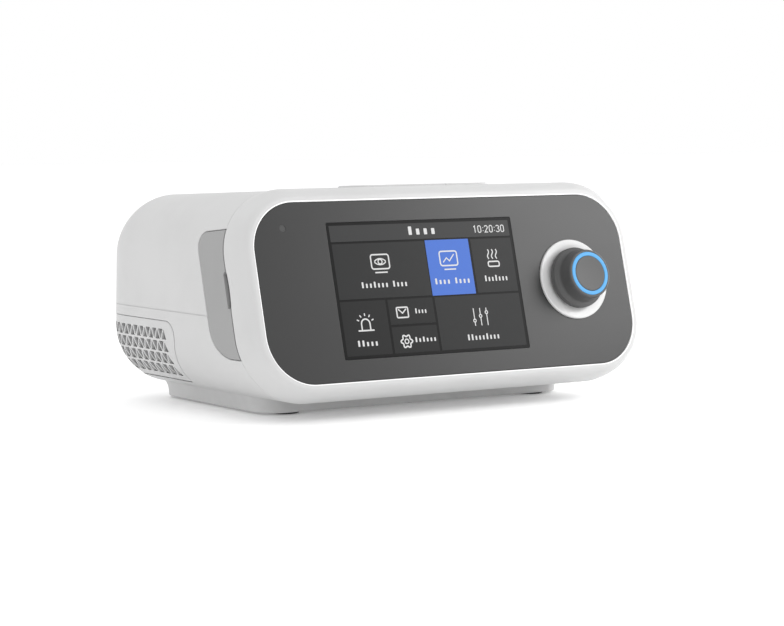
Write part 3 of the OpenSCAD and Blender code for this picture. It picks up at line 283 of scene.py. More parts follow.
white_shell = moulded("white_housing", grey(194), 0.42, dust=0.12)
white_gloss = moulded("white_glossy_moulding", grey(202), 0.28, depth=0.000004, coat=0.3)
inner_white = moulded("inner_white_moulding", grey(205), 0.5, grain=1800)
soft_grey = moulded("soft_grey_flap", grey(150), 0.62, grain=3800, depth=0.000015, shift=0.02)
soft_black = moulded("soft_touch_knob", grey(72), 0.5, grain=4200, depth=0.00001, shift=0.05)
dark_plastic = moulded("black_moulding", grey(45), 0.45, grain=2400)
blower_black = moulded("blower_moulding", grey(58), 0.5, grain=1500, depth=0.00002)
rubber = moulded("rubber", grey(52), 0.75, grain=1600, depth=0.00002, shift=0.08)
pale_rubber = moulded("pale_silicone", grey(188), 0.55, grain=1500, depth=0.00001)
wheel_plastic = moulded("blower_wheel_moulding", grey(222), 0.4, grain=1800)
print("moulded finishes:", len(bpy.data.materials))

# %% [markdown]
# The front panel is a dark plate with a fine matt coat under a clear one. The window over the
# picture is darker and duller, so that the lit tiles on it stand out.

# %% Panel, glass and the lit parts
def coated_plate(name, colour, rough, coat, clear, speck, shine=0.5):
    """Dark plate: a sparkle of fine grain under a clear coat, with faint wiping marks."""
    paint = Paint(name)
    fine = paint.noise(5200, 1)
    wiped = paint.noise(1.0, 3, stretch=(9, 60, 60))
    return paint.finish(
        Base_Color=paint.mix(fine * speck, colour, scaled(colour, 1.6)),
        Roughness=rough + wiped * 0.06, Coat_Weight=coat, Coat_Roughness=clear,
        Specular_IOR_Level=shine, Normal=paint.bump(fine, 0.000004))


def lit(name, colour, strength=1.0, under=0.3, gloss=0.26):
    """A lit surface under a dull clear film, with the faint mottle of a light guide."""
    paint = Paint(name)
    mottle = paint.noise(420, 2)
    glow = paint.mix(mottle, scaled(colour, strength * 0.96), scaled(colour, strength * 1.04))
    return paint.finish(
        Base_Color=scaled(colour, under), Roughness=0.4 + mottle * 0.04,
        Specular_IOR_Level=gloss, Emission_Color=glow, Emission_Strength=1.0)


panel_dark = coated_plate("front_panel_coat", grey(24), 0.31, 0.05, 0.4, 0.3)
lens_dark = coated_plate("display_window", grey(10), 0.33, 0.0, 0.3, 0.1, 0.15)
sensor_smoke = coated_plate("sensor_window_smoke", grey(50), 0.35, 0.1, 0.2, 0.1)
cap_satin = coated_plate("knob_cap_satin", grey(54), 0.4, 0.1, 0.3, 0.5)
tile_dim = lit("tile_dim", grey(12, 0.02))
tile_grey = lit("tile_grey", grey(24, 0.02))
tile_bar = lit("tile_top_bar", grey(42, 0.01))
tile_blue = lit("tile_blue", (0.045, 0.125, 0.46))
ink_white = lit("picture_white", grey(200), 0.9)
ring_blue = lit("knob_ring_blue", (0.09, 0.36, 0.7), 0.6, under=0.5, gloss=0.3)
print("with the plates and lit parts:", len(bpy.data.materials))

# %% [markdown]
# Inside there are circuit boards, metal cans and a filter pad. A board is a green lacquer over a
# net of copper tracks: a Voronoi pattern with straight cells gives their layout.

# %% Boards, metals and the filter
def board_lacquer():
    """Green lacquer over a net of tracks, with bare tinned pads."""
    paint = Paint("board_lacquer")
    cells = paint.node("ShaderNodeTexVoronoi", {
        "feature": "DISTANCE_TO_EDGE", "voronoi_dimensions": "3D"}, {
        "Vector": paint.place, "Scale": 260.0, "Randomness": 0.55})
    tracks = 1 - paint.clamp(cells, 0.04, 0.09)
    pads = 1 - paint.clamp(paint.node("ShaderNodeTexVoronoi", {"feature": "F1"}, {
        "Vector": paint.place, "Scale": 210.0, "Randomness": 0.9}), 0.12, 0.17)
    tone = paint.mix(tracks * 0.7, (0.006, 0.075, 0.03), (0.02, 0.17, 0.06))
    return paint.finish(
        Base_Color=paint.mix(pads * 0.8, tone, (0.55, 0.52, 0.42)), Roughness=0.35 - tracks * 0.08,
        Metallic=pads * 0.7, Normal=paint.bump(tracks, 0.00004))


def metal(name, colour, rough, along):
    """Drawn or turned metal: fine scratches that are stretched along one direction."""
    paint = Paint(name)
    lines = paint.noise(1.0, 4, stretch=along)
    stain = paint.clamp(paint.noise(60, 3), 0.45, 0.75)
    return paint.finish(
        Base_Color=paint.mix(stain * 0.4, colour, scaled(colour, 0.75)), Metallic=1.0,
        Roughness=rough + lines * 0.15, Normal=paint.bump(lines, 0.000006))


def fleece():
    """Tangled fibres, in tone and in relief."""
    paint = Paint("filter_fleece")
    fibres = paint.noise(900, 5, 0.7, distortion=1.5)
    return paint.finish(
        Base_Color=paint.mix(fibres, grey(70), grey(120)), Roughness=0.95, Sheen_Weight=0.3,
        Normal=paint.bump(fibres, 0.0003))


lacquer = board_lacquer()
steel = metal("plated_steel", (0.62, 0.63, 0.65), 0.25, (2400, 60, 2400))
turned = metal("turned_steel", (0.66, 0.66, 0.67), 0.2, (80, 80, 3000))
filter_fleece = fleece()
print("finishes:", len(bpy.data.materials))

# %% [markdown]
# ## The form of the housing
#
# The housing is a family of rounded rectangles that lean, grow and turn from the front rim to the
# back wall. Each one is a closed ring of points. Lofting skins neighbouring rings with quads; more
# rings make a smoother skin, and a slightly smaller last ring gives an edge its moulded radius.

# %% Rings of the housing, in millimetres
body_w, body_depth, face_h, wall, seam_h = 233, 155, 61.7, 2.4, 49.7
tilt, slope = math.radians(15), math.radians(2.3)
panel_w, panel_h, panel_r, rim_w = 216.8, 88, 24, 2
bezel_d, bezel_up, bezel_down, bezel_r = 16, 53.5, 50.8, 33
top_r, belly_r, belly_h, back_top_r, back_low_r, back_side_r = 26, 30, 8.5, 38, 24, 18
corner_shrink = 0.7
half_w = body_w / 2
knob_h, knob_top_r, outlet_l = 14.5, 12.6, 18
knob_reach = knob_h * math.cos(tilt) + knob_top_r * math.sin(tilt)
face_y = (knob_reach - body_depth - outlet_l) / 2
back_y = face_y + body_depth
gap = 0.3


def face_point(height, depth):
    """Where a height up the front face and a depth behind it lie, as (y, z)."""
    return np.array((face_y + height * math.sin(tilt) + depth * math.cos(tilt),
                     face_h + height * math.cos(tilt) - depth * math.sin(tilt)))


def mix(a, b, q):
    return a + (b - a) * q


def sin(degrees):
    return math.sin(math.radians(degrees))


def cos(degrees):
    return math.cos(math.radians(degrees))


def arc(cx, cy, r, start, stop, steps=24):
    """Points along an arc, from one angle in degrees to another."""
    return [(cx + r * cos(t), cy + r * sin(t)) for t in np.linspace(start, stop, steps + 1)]


def rounded(w, h, r_up, r_low, steps=18):
    """Closed outline of a rounded rectangle from (-w, 0) to (w, h)."""
    points = []
    for cx, cy, r, start in ((w - r_up, h - r_up, r_up, 0), (r_up - w, h - r_up, r_up, 90),
                             (r_low - w, r_low, r_low, 180), (w - r_low, r_low, r_low, 270)):
        for i in range(steps + 1):
            a = start + 90 * i / steps
            points.append((cx + r * cos(a), cy + r * sin(a)))
    return points


def leaning_ring(low, high, w, r_up, r_low):
    """A ring that stands on one (y, z) point and reaches up to another."""
    h = float(np.linalg.norm(high - low))
    rise = (high - low) / h
    return [(x, low[0] + y * rise[0], low[1] + y * rise[1])
            for x, y in rounded(w, h, r_up, r_low)]


seam_up, seam_down = face_point(bezel_up, bezel_d), face_point(-bezel_down, bezel_d)


def top_z(y):
    """Height of the top face, which falls towards the back."""
    return seam_up[1] - (y - seam_up[0]) * math.tan(slope)


def bezel_ring(angle, inset, depth):
    """Ring of the bezel: 0 degrees is the flat rim, 90 degrees the seam to the housing."""
    s = sin(angle)
    r = mix(panel_r + rim_w, bezel_r, s) - inset
    return leaning_ring(face_point(-mix(panel_h / 2 + rim_w, bezel_down, s) + inset, depth),
                        face_point(mix(panel_h / 2 + rim_w, bezel_up, s) - inset, depth),
                        mix(panel_w / 2 + rim_w, half_w, s) - inset, r, r)


def body_ring(q, angle, inset):
    """Ring of the housing: q runs from the seam to the back, then the angle turns it inwards."""
    s, c = sin(angle), 1 - cos(angle)
    up_r, low_r = back_top_r - inset, back_low_r - inset
    low = np.array((mix(seam_down[0], back_y - back_low_r, q) + low_r * s,
                    mix(seam_down[1], belly_h, q) + inset + low_r * c))
    high = np.array((mix(seam_up[0], back_y - back_top_r, q) + up_r * s,
                     mix(seam_up[1], top_z(back_y - back_top_r), q) - inset - up_r * c))
    tighten = 1 - corner_shrink * c
    blend = min(1, 2 * q)
    return leaning_ring(low, high, half_w - inset - (back_side_r - inset) * c,
                        (mix(bezel_r, top_r, blend) - inset) * tighten,
                        (mix(bezel_r, belly_r, blend) - inset) * tighten)


print("front face middle at y =", round(face_y, 3), "mm, back wall at", round(back_y, 3))

# %% [markdown]
# ## Solids from rings and outlines
#
# Three small tools make nearly everything: a loft through rings, a straight prism on an outline,
# and a carve that adds or takes away other solids. The carve uses the Manifold boolean, which keeps
# clean solids clean and is fast on dense skins. The result is baked to a plain mesh at once.

# %% Loft, prism, turn and carve
def put(name, points, faces, tidy=True):
    """A mesh object from millimetre points; its faces are turned to point outwards."""
    data = bpy.data.meshes.new(name)
    data.from_pydata([(x * MM, y * MM, z * MM) for x, y, z in points], [], faces)
    if tidy:
        shape = bmesh.new()
        shape.from_mesh(data)
        bmesh.ops.recalc_face_normals(shape, faces=shape.faces)
        shape.to_mesh(data)
        shape.free()
    piece = bpy.data.objects.new(name, data)
    scene.collection.objects.link(piece)
    return piece


def loft(name, rings):
    """A closed skin through rings of equally many points, with a cap at each end."""
    n = len(rings[0])
    faces = [tuple(range(n)), tuple(range((len(rings) - 1) * n, len(rings) * n))]
    for k in range(len(rings) - 1):
        for i in range(n):
            j = (i + 1) % n
            faces.append((k * n + i, k * n + j, (k + 1) * n + j, (k + 1) * n + i))
    return put(name, [p for ring in rings for p in ring], faces)


on_face = Matrix.Translation((0, face_y, face_h)) @ Matrix.Rotation(math.pi / 2 - tilt, 4, "X")


def placed(frame_matrix, points):
    return [tuple(frame_matrix @ Vector(p)) for p in points]


def prism(name, outline, low, high, where=Matrix.Identity(4), turn=lambda x, y, z: (x, y, z)):
    """A prism on a flat outline, from one height to another, in a local frame."""
    return loft(name, [placed(where, [turn(x, y, z) for x, y in outline]) for z in (low, high)])


def circle(r, steps=48, x=0.0, y=0.0):
    return [(x + r * math.cos(2 * math.pi * i / steps), y + r * math.sin(2 * math.pi * i / steps))
            for i in range(steps)]


def pins(name, places, low, high, r):
    """An upright round pin at each place."""
    return [prism(name, circle(r, 32, x, y), low, high) for x, y in places]


def bake(piece):
    """Keeps what the modifiers make as the piece's own plain mesh."""
    graph = bpy.context.evaluated_depsgraph_get()
    made = bpy.data.meshes.new_from_object(piece.evaluated_get(graph))
    piece.modifiers.clear()
    old, piece.data = piece.data, made
    bpy.data.meshes.remove(old)
    return piece


def carve(piece, others, operation="DIFFERENCE"):
    """Adds or takes away solids, one after another."""
    for other in others:
        step = piece.modifiers.new("carve", "BOOLEAN")
        step.operation, step.solver, step.object = operation, "MANIFOLD", other
        bake(piece)
    for other in others:
        bpy.data.objects.remove(other)
    return piece


def coat(piece, finish):
    """Gives the whole piece one finish."""
    piece.data.materials.clear()
    piece.data.materials.append(finish)
    piece.data.polygons.foreach_set("material_index", [0] * len(piece.data.polygons))
    return piece


def smooth(piece, degrees=30):
    """Smooth shading that breaks at sharp edges and keeps the large faces flat."""
    piece.data.shade_smooth()
    piece.data.set_sharp_from_angle(angle=math.radians(degrees))
    piece.modifiers.new("even_normals", "WEIGHTED_NORMAL").keep_sharp = True
    return bake(piece)


def seat(piece, body, slot, *nodes):
    """Rides on a body and stands for the solids that it replaces. The slot is not used."""
    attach(piece, body)
    if nodes:
        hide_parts(*nodes)
    print(f"{piece.name}: {len(piece.data.polygons)} faces on {body}")


def dress(piece, finish, body, slot, *nodes, degrees=30):
    """Finish, shading and seat of a piece, in this order."""
    seat(smooth(coat(piece, finish), degrees), body, slot, *nodes)


print("front leans back by", round(math.degrees(tilt), 1), "degrees, top falls by",
      round(math.degrees(slope), 1))

# %% [markdown]
# ## The front bezel
#
# The bezel is the white frame round the panel. It starts as a flat rim, swells like a quarter of an
# ellipse and meets the housing at a thin seam, which shows as a hairline because both edges are
# rounded. Next to the panel a narrow edge is glossier and painted near-white: a painted highlight
# that makes the bright line round it.

# %% Bezel
def bezel_shell(inset, first, last):
    return [bezel_ring(a, inset, bezel_d * (1 - cos(a))) for a in np.linspace(first, last, 28)]


panel_d, panel_back, flange_front, flange_t, flange_w = 0.4, 2.4, 3.0, 2, 2.5
quarter = (0, 22.5, 45, 67.5, 90)
edge = 0.3
bezel = loft("front_bezel_moulding", bezel_shell(0, 0, 88.5) + [
    bezel_ring(90, edge * (1 - cos(a)), bezel_d - edge + edge * sin(a)) for a in quarter])
flange_a = math.degrees(math.acos(1 - (flange_front + flange_t) / bezel_d))
hollow = bezel_shell(wall, flange_a, 90) + [bezel_ring(90, wall, bezel_d + 1)]


def plate_ring(w, h, r, depth):
    """Ring of a plate with round corners on the front face, at a depth behind the rim."""
    return placed(on_face, [(x, y - h / 2, -depth) for x, y in rounded(w / 2, h, r, r, 24)])


def seat_ring(grow, depth):
    return plate_ring(panel_w + gap + 2 * grow, panel_h + gap + 2 * grow,
                      panel_r + gap / 2 + grow, depth)


soft = 0.5
mouth = [seat_ring(soft + 0.05, -1), seat_ring(soft, -0.01)] + [
    seat_ring(soft * (1 - sin(t)), soft * (1 - cos(t))) for t in quarter[1:]] + [
    seat_ring(0, flange_front)]
window = [plate_ring(panel_w - 2 * flange_w, panel_h - 2 * flange_w, panel_r - flange_w, d)
          for d in (0, bezel_d)]


def scoop_cut():
    """A shallow finger scoop in the bezel, cut by a spindle."""
    depth, length, width, height = 0.6, 24, 9, 6
    along = (length * length / 4 + depth * depth) / (2 * depth)
    across = (width * width / 4 + depth * depth) / (2 * depth)
    rings = []
    for v in np.linspace(-length / 2 - 0.5, length / 2 + 0.5, 41):
        r = across - along + math.sqrt(along * along - v * v)
        rings.append(placed(on_face, [
            (depth - half_w - across + r * math.cos(t), height + v, -bezel_d - r * math.sin(t))
            for t in np.linspace(0, 2 * math.pi, 96, endpoint=False)]))
    return loft("scoop_cut", rings)


def nail_cut():
    """A slot with round ends for a fingernail, in the front edge of the flap."""
    half, length, deep, low, behind = 1.4, 18, 3.5, -3, 1.3
    ends = rounded(half, length, half - 0.01, half - 0.01, 10)
    return prism("nail_cut", ends, -half_w - 1, -half_w + deep, on_face,
                 lambda x, y, z: (z, y + low, -bezel_d - behind - x))


bezel = carve(bezel, [loft("hollow", hollow), loft("mouth", mouth), loft("window", window),
                      scoop_cut(), nail_cut()])
up_face = (0, math.sin(tilt), math.cos(tilt))
middle = face_y * math.sin(tilt) + face_h * math.cos(tilt)
# The bezel's edge next to the panel carries a painted highlight, a near-white line.
bezel_white = moulded("white_bezel", grey(194), 0.4, rim=(
    up_face, middle * MM, panel_w * MM, panel_h * MM, panel_r * MM))
dress(bezel, bezel_white, "housing", "bezel_white", "front_bezel")

# %% [markdown]
# ## The two housings
#
# Upper and lower housing are one form, cut at a level seam. The lower one stands on a narrower
# plinth that flares into the belly. Behind the flap and the inlet cover the wall is open, and the
# cover lies in a shallow step. The seam's edges are eased by a thin cut that follows the skin.

# %% Whole body form
def body_rings(inset, open_by=0.0):
    """The skin of the whole housing, or one that lies deeper and may reach out of the front."""
    rings = [body_ring(q, 0, inset) for q in np.linspace(-open_by, 1, 26)]
    return rings + [body_ring(1, a, inset) for a in np.linspace(4, 90, 24)]


def outer_rings():
    """The skin of the housing with a small radius where it meets the bezel."""
    return [body_ring(0.004 * (1 - cos(a)), 0, 1 - sin(a)) for a in quarter] + body_rings(0)[1:]


def block(name, low, high):
    return prism(name, [(low[0], low[1]), (high[0], low[1]), (high[0], high[1]),
                        (low[0], high[1])], low[2], high[2])


def layer(name, low=-50, high=200):
    """A block wider than the machine, between two heights or from beyond one of its ends."""
    return block(name, (-150, -120, low), (150, 120, high))


def seam_groove():
    """A thin level ring round the skin at the height of the seam."""
    size = 0.28
    ring = layer("ring", seam_h - size, seam_h + size)
    return carve(ring, [loft("core", body_rings(size, 0.05))])


flap_r_up, flap_r_low, flap_up, flap_down, flap_drop = 6, 20, 38, 26.5, 5.5
flap_end, flap_front = bezel_d + 23.5, bezel_d + 0.6


def lean_on(cx, cy, r, edge, side):
    """Slope of the straight edge from (0, edge) that touches a corner circle from one side."""
    far = math.hypot(cx, cy - edge)
    return math.degrees(math.atan2(cy - edge, cx) + side * math.asin(r / far))


def flap_points(grow, front):
    """Side view of the flap: depth behind the rim and height, with two round rear corners."""
    low, high = -flap_down - flap_drop - grow, flap_up - flap_drop + grow
    start = max(front, 0)
    low_at = (flap_end - flap_r_low, flap_r_low - flap_down, flap_r_low + grow)
    up_at = (flap_end - flap_r_up, flap_up - flap_r_up, flap_r_up + grow)
    low_lean, up_lean = lean_on(*low_at, low, -1), lean_on(*up_at, high, 1)
    points = [(start, low + start * math.tan(math.radians(low_lean)))]
    points += arc(*low_at, low_lean - 90, 0, 24) + arc(*up_at, 0, 90 + up_lean, 16)
    points.append((start, high + start * math.tan(math.radians(up_lean))))
    return points if front >= 0 else [(front, points[0][1])] + points + [(front, points[-1][1])]


def side_prism(name, outline, x, length):
    return prism(name, outline, x, x + length, on_face, lambda d, v, t: (t, v, -d))


soft_steps = [(sin(a), 1 - cos(a)) for a in quarter[1:-1]]
under_skin = 0.02


def eased(cutter_of):
    """Three cuts that round the rim of an opening: each is wider and deeper than the last."""
    return [carve(cutter_of(edge * s), [loft("core", body_rings(edge * c + under_skin))])
            for s, c in soft_steps]


def trim_rim(piece, size, rim_of, kept_of, inset, open_by=0.0):
    """Rounds a piece's own outline in three steps, with what is to be kept left standing."""
    for s, c in soft_steps:
        core = loft("core", body_rings(inset + size * c + under_skin, open_by))
        carve(piece, [carve(rim_of(), [kept_of(size * (1 - s)), core])])


cover_long, cover_wide, cover_top, cover_low, cover_r, cover_low_r = 83, 56, 44.5, 13, 9, 4
cover_y, cover_x = back_y - cover_long, cover_wide - half_w
cover_inset, cover_t, cover_gap, cover_slit, cover_edge = 0.2, 2, 0.6, 0.7, 0.4
step_in = cover_inset + cover_t + cover_gap


def cover_points(grow, back=0):
    """Side view of the inlet cover, as (y, z): two round front corners, open to the back."""
    beyond, corner_y = back_y + 6, cover_y + back + cover_r
    points = [(beyond, cover_low - grow)]
    for cz, r, start in ((cover_low + cover_low_r, cover_low_r, 270),
                         (cover_top - cover_r, cover_r, 180)):
        points += arc(corner_y, cz, r + grow, start, start - 90, 16)
    return points + [(beyond, cover_top + grow)]


def cover_prism(name, grow, back=0):
    return prism(name, cover_points(grow, back), -half_w - 5, cover_x + grow,
                 turn=lambda y, z, x: (x, y, z))


print("the flap ends", flap_end, "mm behind the rim")

# %% Plinth, bosses and the lower housing
base_w, base_d, base_r, base_fillet, base_low = 174, 113, 12, 12, 1
base_y = face_y + 24.3
plinth_set, plinth_out = 5, 3.5
floor_z = base_low + wall
boss_x, boss_y = base_w / 2 - 9, (base_y + 16, base_y + base_d - 10)
boss_r, chamber_post_r, board_post_r, mat_post_r = 4.2, 3, 2.6, 3
head_well_r, screw_way_r, screw_bite_r, board_hole_r, foot_seat_r = 3.3, 1.7, 1.5, 1.2, 7.3
chamber_z, board_lift, foot_sink, ledge_t, ledge_w = 12.4, 3.6, 1.2, 1.5, 3
feet = [(x * (base_w / 2 - 13), y) for x in (-1, 1) for y in (base_y + 13, base_y + base_d - 13)]
wheel_x, chamber_w, chamber_d = 12, 88, 84
wheel_y = back_y - 30 - chamber_d / 2
outlet_x, outlet_hole_r = 38, 13
power_x, power_z, power_w, power_h = half_w - 28.5, 42, 10, 11
speaker_x, speaker_y = base_w / 2 - 21, base_y + 30
boss_at = [(x, y) for x in (-boss_x, boss_x) for y in boss_y]
corners = [(i, j) for i in (-1, 1) for j in (-1, 1)]
chamber_at = [(wheel_x + i * (chamber_w / 2 - 8), wheel_y + j * (chamber_d / 2 - 8))
              for i, j in corners]
board_at = [(-14 + i * 51, base_y + base_d / 2 + j * 39) for i, j in corners]


def base_ring(z, grow):
    """Outline of the plinth at a height, grown outwards."""
    return [(x, base_y + plinth_set - grow + y, z)
            for x, y in rounded(base_w / 2 + plinth_out + grow, base_d - plinth_set + 2 * grow,
                                base_r + grow, base_r + grow)]


fillet_z, base_edge = belly_h - 6, 0.8
plinth_rings = [base_ring(base_low + base_edge * (1 - cos(t)), base_edge * (sin(t) - 1))
                for t in (0, 30, 60, 90)]
plinth_rings += [base_ring(fillet_z + base_fillet * sin(t), base_fillet * (1 - cos(t)))
                 for t in range(0, 65, 4)]


def flap_hole(grow=0, length=20):
    return side_prism("flap_hole", flap_points(gap + grow, -5), -half_w - 2, length)


def flap_rim():
    return eased(lambda grow: flap_hole(grow, 12))


def outlet_hole():
    outline = circle(outlet_hole_r, 64, outlet_x, seam_h)
    return prism("outlet_hole", outline, back_y - 10, back_y + 10,
                 turn=lambda x, z, y: (x, y, z))


base_room = rounded(base_w / 2 - wall, base_d - plinth_set - 2 * wall, base_r - wall,
                    base_r - wall)
head_z, post_z = seam_h - 12, floor_z - 1
lower = loft("lower_housing_moulding", outer_rings())
carve(lower, [loft("plinth", plinth_rings)], "UNION")
carve(lower, [loft("hollow", body_rings(wall, 0.05)),
              loft("base_room", [[(x, base_y + plinth_set + wall + y, z) for x, y in base_room]
                                 for z in (floor_z, belly_h + wall + 3)])])
ledge = loft("ledge", body_rings(wall - 0.1))
carve(ledge, [loft("core", body_rings(step_in + ledge_t, 0.02))])
carve(ledge, [carve(cover_prism("ledge_zone", ledge_w), [cover_prism("inside", -ledge_w)])],
      "INTERSECT")
posts = pins("boss", boss_at, post_z, seam_h, boss_r)
posts += pins("chamber_post", chamber_at, post_z, chamber_z, chamber_post_r)
posts += pins("board_post", board_at, post_z, floor_z + board_lift, board_post_r)
carve(lower, [ledge, *posts], "UNION")
step = carve(cover_prism("step", 0), [loft("core", body_rings(step_in, 0.02))])
carve(lower, [layer("above", low=seam_h), step, seam_groove(), flap_hole(), outlet_hole()])
carve(lower, flap_rim())
carve(lower, pins("head_well", boss_at, -1, head_z, head_well_r) +
      pins("screw_way", boss_at, 20, seam_h + 1, screw_way_r) +
      pins("board_hole", board_at, floor_z - 0.4, floor_z + 4, board_hole_r) +
      pins("foot_seat", feet, -1, base_low + foot_sink, foot_seat_r) +
      [block("power_hole", (power_x - power_w / 2 - gap, back_y - 10, power_z - power_h / 2 - gap),
             (power_x + power_w / 2 + gap, back_y + 2, power_z + power_h / 2 + gap))])
print("lower housing so far:", len(lower.data.polygons))

# %% [markdown]
# ### Slots under the alarm speaker
#
# The sound leaves through seven slots in the floor. They repeat, so a small node tree makes them: a
# line of points, a rounded bar on each, and the copies realised into one mesh that the carve uses.

# %% A node tree for bars in a row
class Steps:
    """A Geometry Nodes tree under construction, with named inputs for its sizes."""

    def __init__(self, name):
        self.tree = bpy.data.node_groups.new(name, "GeometryNodeTree")
        self.tree.interface.new_socket(
            "Geometry", in_out="OUTPUT", socket_type="NodeSocketGeometry")
        self.names = {}

    def takes(self, **inputs):
        for name, kind in inputs.items():
            socket = self.tree.interface.new_socket(
                name.replace("_", " "), in_out="INPUT", socket_type=f"NodeSocket{kind}")
            self.names[name] = socket.identifier
        self.given = self.tree.nodes.new("NodeGroupInput")

    def read(self, name):
        return self.given.outputs[name.replace("_", " ")]

    def node(self, kind, settings=None, inputs=None, out=0):
        return add_node(self.tree, kind, settings, inputs).outputs[out]

    def sum(self, operation, first, second):
        return self.node("ShaderNodeMath", {"operation": operation}, {0: first, 1: second})

    def vector(self, x=0.0, y=0.0, z=0.0):
        return self.node("ShaderNodeCombineXYZ", None, {0: x, 1: y, 2: z})

    def ends(self, geometry):
        """Realises the copies, gives them their material, and closes the tree."""
        real = self.node("GeometryNodeRealizeInstances", None, {"Geometry": geometry})
        painted = self.node("GeometryNodeSetMaterial", None, {
            "Geometry": real, "Material": self.read("Finish")})
        end = self.tree.nodes.new("NodeGroupOutput")
        self.tree.links.new(painted, end.inputs[0])

    def grow(self, name, **values):
        """Runs the tree with these values and keeps the result as a plain mesh object."""
        host = bpy.data.objects.new(name, bpy.data.meshes.new(name + "_host"))
        scene.collection.objects.link(host)
        maker = host.modifiers.new("steps", "NODES")
        maker.node_group = self.tree
        for key, value in values.items():
            maker[self.names[key]] = value
        return bake(host)


def shift(piece, matrix):
    """Applies a place, given in millimetres, to the mesh; the object stays at the origin."""
    moved = matrix.copy()
    moved.translation = moved.translation * MM
    piece.data.transform(moved)
    return piece


bars = Steps("bars_in_a_row")
bars.takes(Count="Int", Pitch="Float", Bar_width="Float", Bar_length="Float", Depth="Float",
           Finish="Material")
line = bars.node("GeometryNodeMeshLine", None, {
    "Count": bars.read("Count"), "Offset": bars.vector(bars.read("Pitch"))})
bar = bars.node("GeometryNodeMeshCube", None, {"Size": bars.vector(
    bars.read("Bar_width"), bars.read("Bar_length"), bars.read("Depth"))})
bars.ends(bars.node("GeometryNodeInstanceOnPoints", None, {"Points": line, "Instance": bar}))
slot_pitch, slot_count, slot_w, slot_l = 3.4, 7, 1.4, 14
slots = bars.grow("speaker_slots", Count=slot_count, Pitch=slot_pitch * MM,
                  Bar_width=slot_w * MM, Bar_length=slot_l * MM, Depth=8 * MM,
                  Finish=white_shell)
first_slot = speaker_x - slot_pitch * (slot_count - 1) / 2
carve(lower, [shift(slots, Matrix.Translation((first_slot, speaker_y, 2)))])
dress(lower, white_shell, "housing", "housing_white", "lower_housing")

# %% [markdown]
# ## The upper housing
#
# The same skin above the seam, with an opening for the two buttons. Under it hang the pillars that
# the screws from below bite into, and two posts for the button board.

# %% Upper housing
pad_w, pad_d, pad_rise, pad_x = 87, 20, 1.8, 5
pad_y = seam_up[0] + 2.5 + pad_d / 2
split = mix(-pad_w / 2, pad_w / 2, 0.65)
pad_place = Matrix.Translation((pad_x, pad_y, top_z(pad_y))) @ Matrix.Rotation(-slope, 4, "X")
lip_up, lip_low = -wall - 0.8, -wall - 1.8
mat_up = lip_low - 1.9
mat_post_x = pad_w / 2 + 5


def stadium(w, h, steps=24):
    """Outline of a bar with round ends, centred."""
    r = h / 2 - 0.05
    return [(x, y - h / 2) for x, y in rounded(w / 2, h, r, r, steps)]


def pad_hole(grow=0):
    """The hole for both buttons in the top edge."""
    outline = stadium(pad_w + gap + 2 * grow, pad_d + gap + 2 * grow)
    return prism("pad_hole", outline, -20, 10, pad_place)


upper = loft("upper_housing_moulding", outer_rings())
carve(upper, [loft("hollow", body_rings(wall, 0.05))])
first_stake, *stakes = pins("pillar", boss_at, seam_h, 200, boss_r)
stakes += [prism("mat_post", circle(mat_post_r, 32, x), mat_up, 2, pad_place)
           for x in (-mat_post_x, mat_post_x)]
carve(first_stake, stakes, "UNION")
pillars = carve(loft("pillars", body_rings(wall / 2)), [first_stake], "INTERSECT")
carve(upper, [pillars], "UNION")
carve(upper, [layer("below", high=seam_h), seam_groove(), pad_hole(), flap_hole(),
              outlet_hole()])
carve(upper, flap_rim() +
      pins("screw_bite", boss_at, seam_h - 1, seam_h + 11, screw_bite_r) + eased(pad_hole))
dress(upper, white_shell, "housing", "housing_white", "upper_housing")

# %% [markdown]
# ## The side flap
#
# The flap is soft and lies flush in the side. It is cut out of the same skin as the housing, so it
# continues its curve. A slot in its front edge takes a fingernail, beside the scoop in the bezel.

# %% Flap
flap = carve(side_prism("port_flap_moulding", flap_points(0, flap_front), -half_w - 2, 30),
             [loft("skin", body_rings(0, 0.05))], "INTERSECT")
flap_t = 1.8
carve(flap, [loft("inside", body_rings(flap_t, 0.1)), nail_cut()])
trim_rim(flap, edge,
         lambda: side_prism("rim", flap_points(1, flap_front - 1), -half_w - 2, 12),
         lambda cut: side_prism("kept", flap_points(-cut - under_skin, flap_front + cut),
                                -half_w - 3, 14), 0, 0.05)
dress(flap, soft_grey, "port_flap", "flap_grey", "port_flap")

# %% [markdown]
# ## The air inlet cover
#
# Its holes are triangles, point up and point down in turn, in four rows. This is a rule, so a node
# tree makes the cutters: a triangle with rounded corners is pushed along a short line, copied along
# a row, every second copy turned by half a turn, and the row is copied downwards.

# %% Triangular cutters
tri_pitch, row_pitch, tri_bar, tri_rows = 6.8, 6.2, 0.95, 4
tri_w, tri_h = tri_pitch - 2 * tri_bar, row_pitch - tri_bar
cover_border, tri_soft = 4.3, 0.35
row_z = cover_top - cover_border - tri_h

lattice = Steps("triangle_lattice")
lattice.takes(Columns="Int", Rows="Int", Half_pitch="Float", Row_pitch="Float", Width="Float",
              Height="Float", Corner="Float", Depth="Float", Finish="Material")
three = lattice.node("GeometryNodeCurvePrimitiveCircle", {"mode": "RADIUS"}, {
    "Resolution": 3, "Radius": 1.0})
turned_up = lattice.node("GeometryNodeTransform", None, {
    "Geometry": three, "Rotation": (0, 0, math.pi / 2)})
sized = lattice.node("GeometryNodeTransform", None, {
    "Geometry": turned_up,
    "Translation": lattice.vector(0.0, lattice.sum("MULTIPLY", lattice.read("Height"), -1 / 6)),
    "Scale": lattice.vector(
        lattice.sum("MULTIPLY", lattice.read("Width"), 1 / math.sqrt(3)),
        lattice.sum("MULTIPLY", lattice.read("Height"), 2 / 3), 1.0)})
eased_tri = lattice.node("GeometryNodeFilletCurve", {"mode": "POLY"}, {
    "Curve": sized, "Count": 3, "Radius": lattice.read("Corner")})
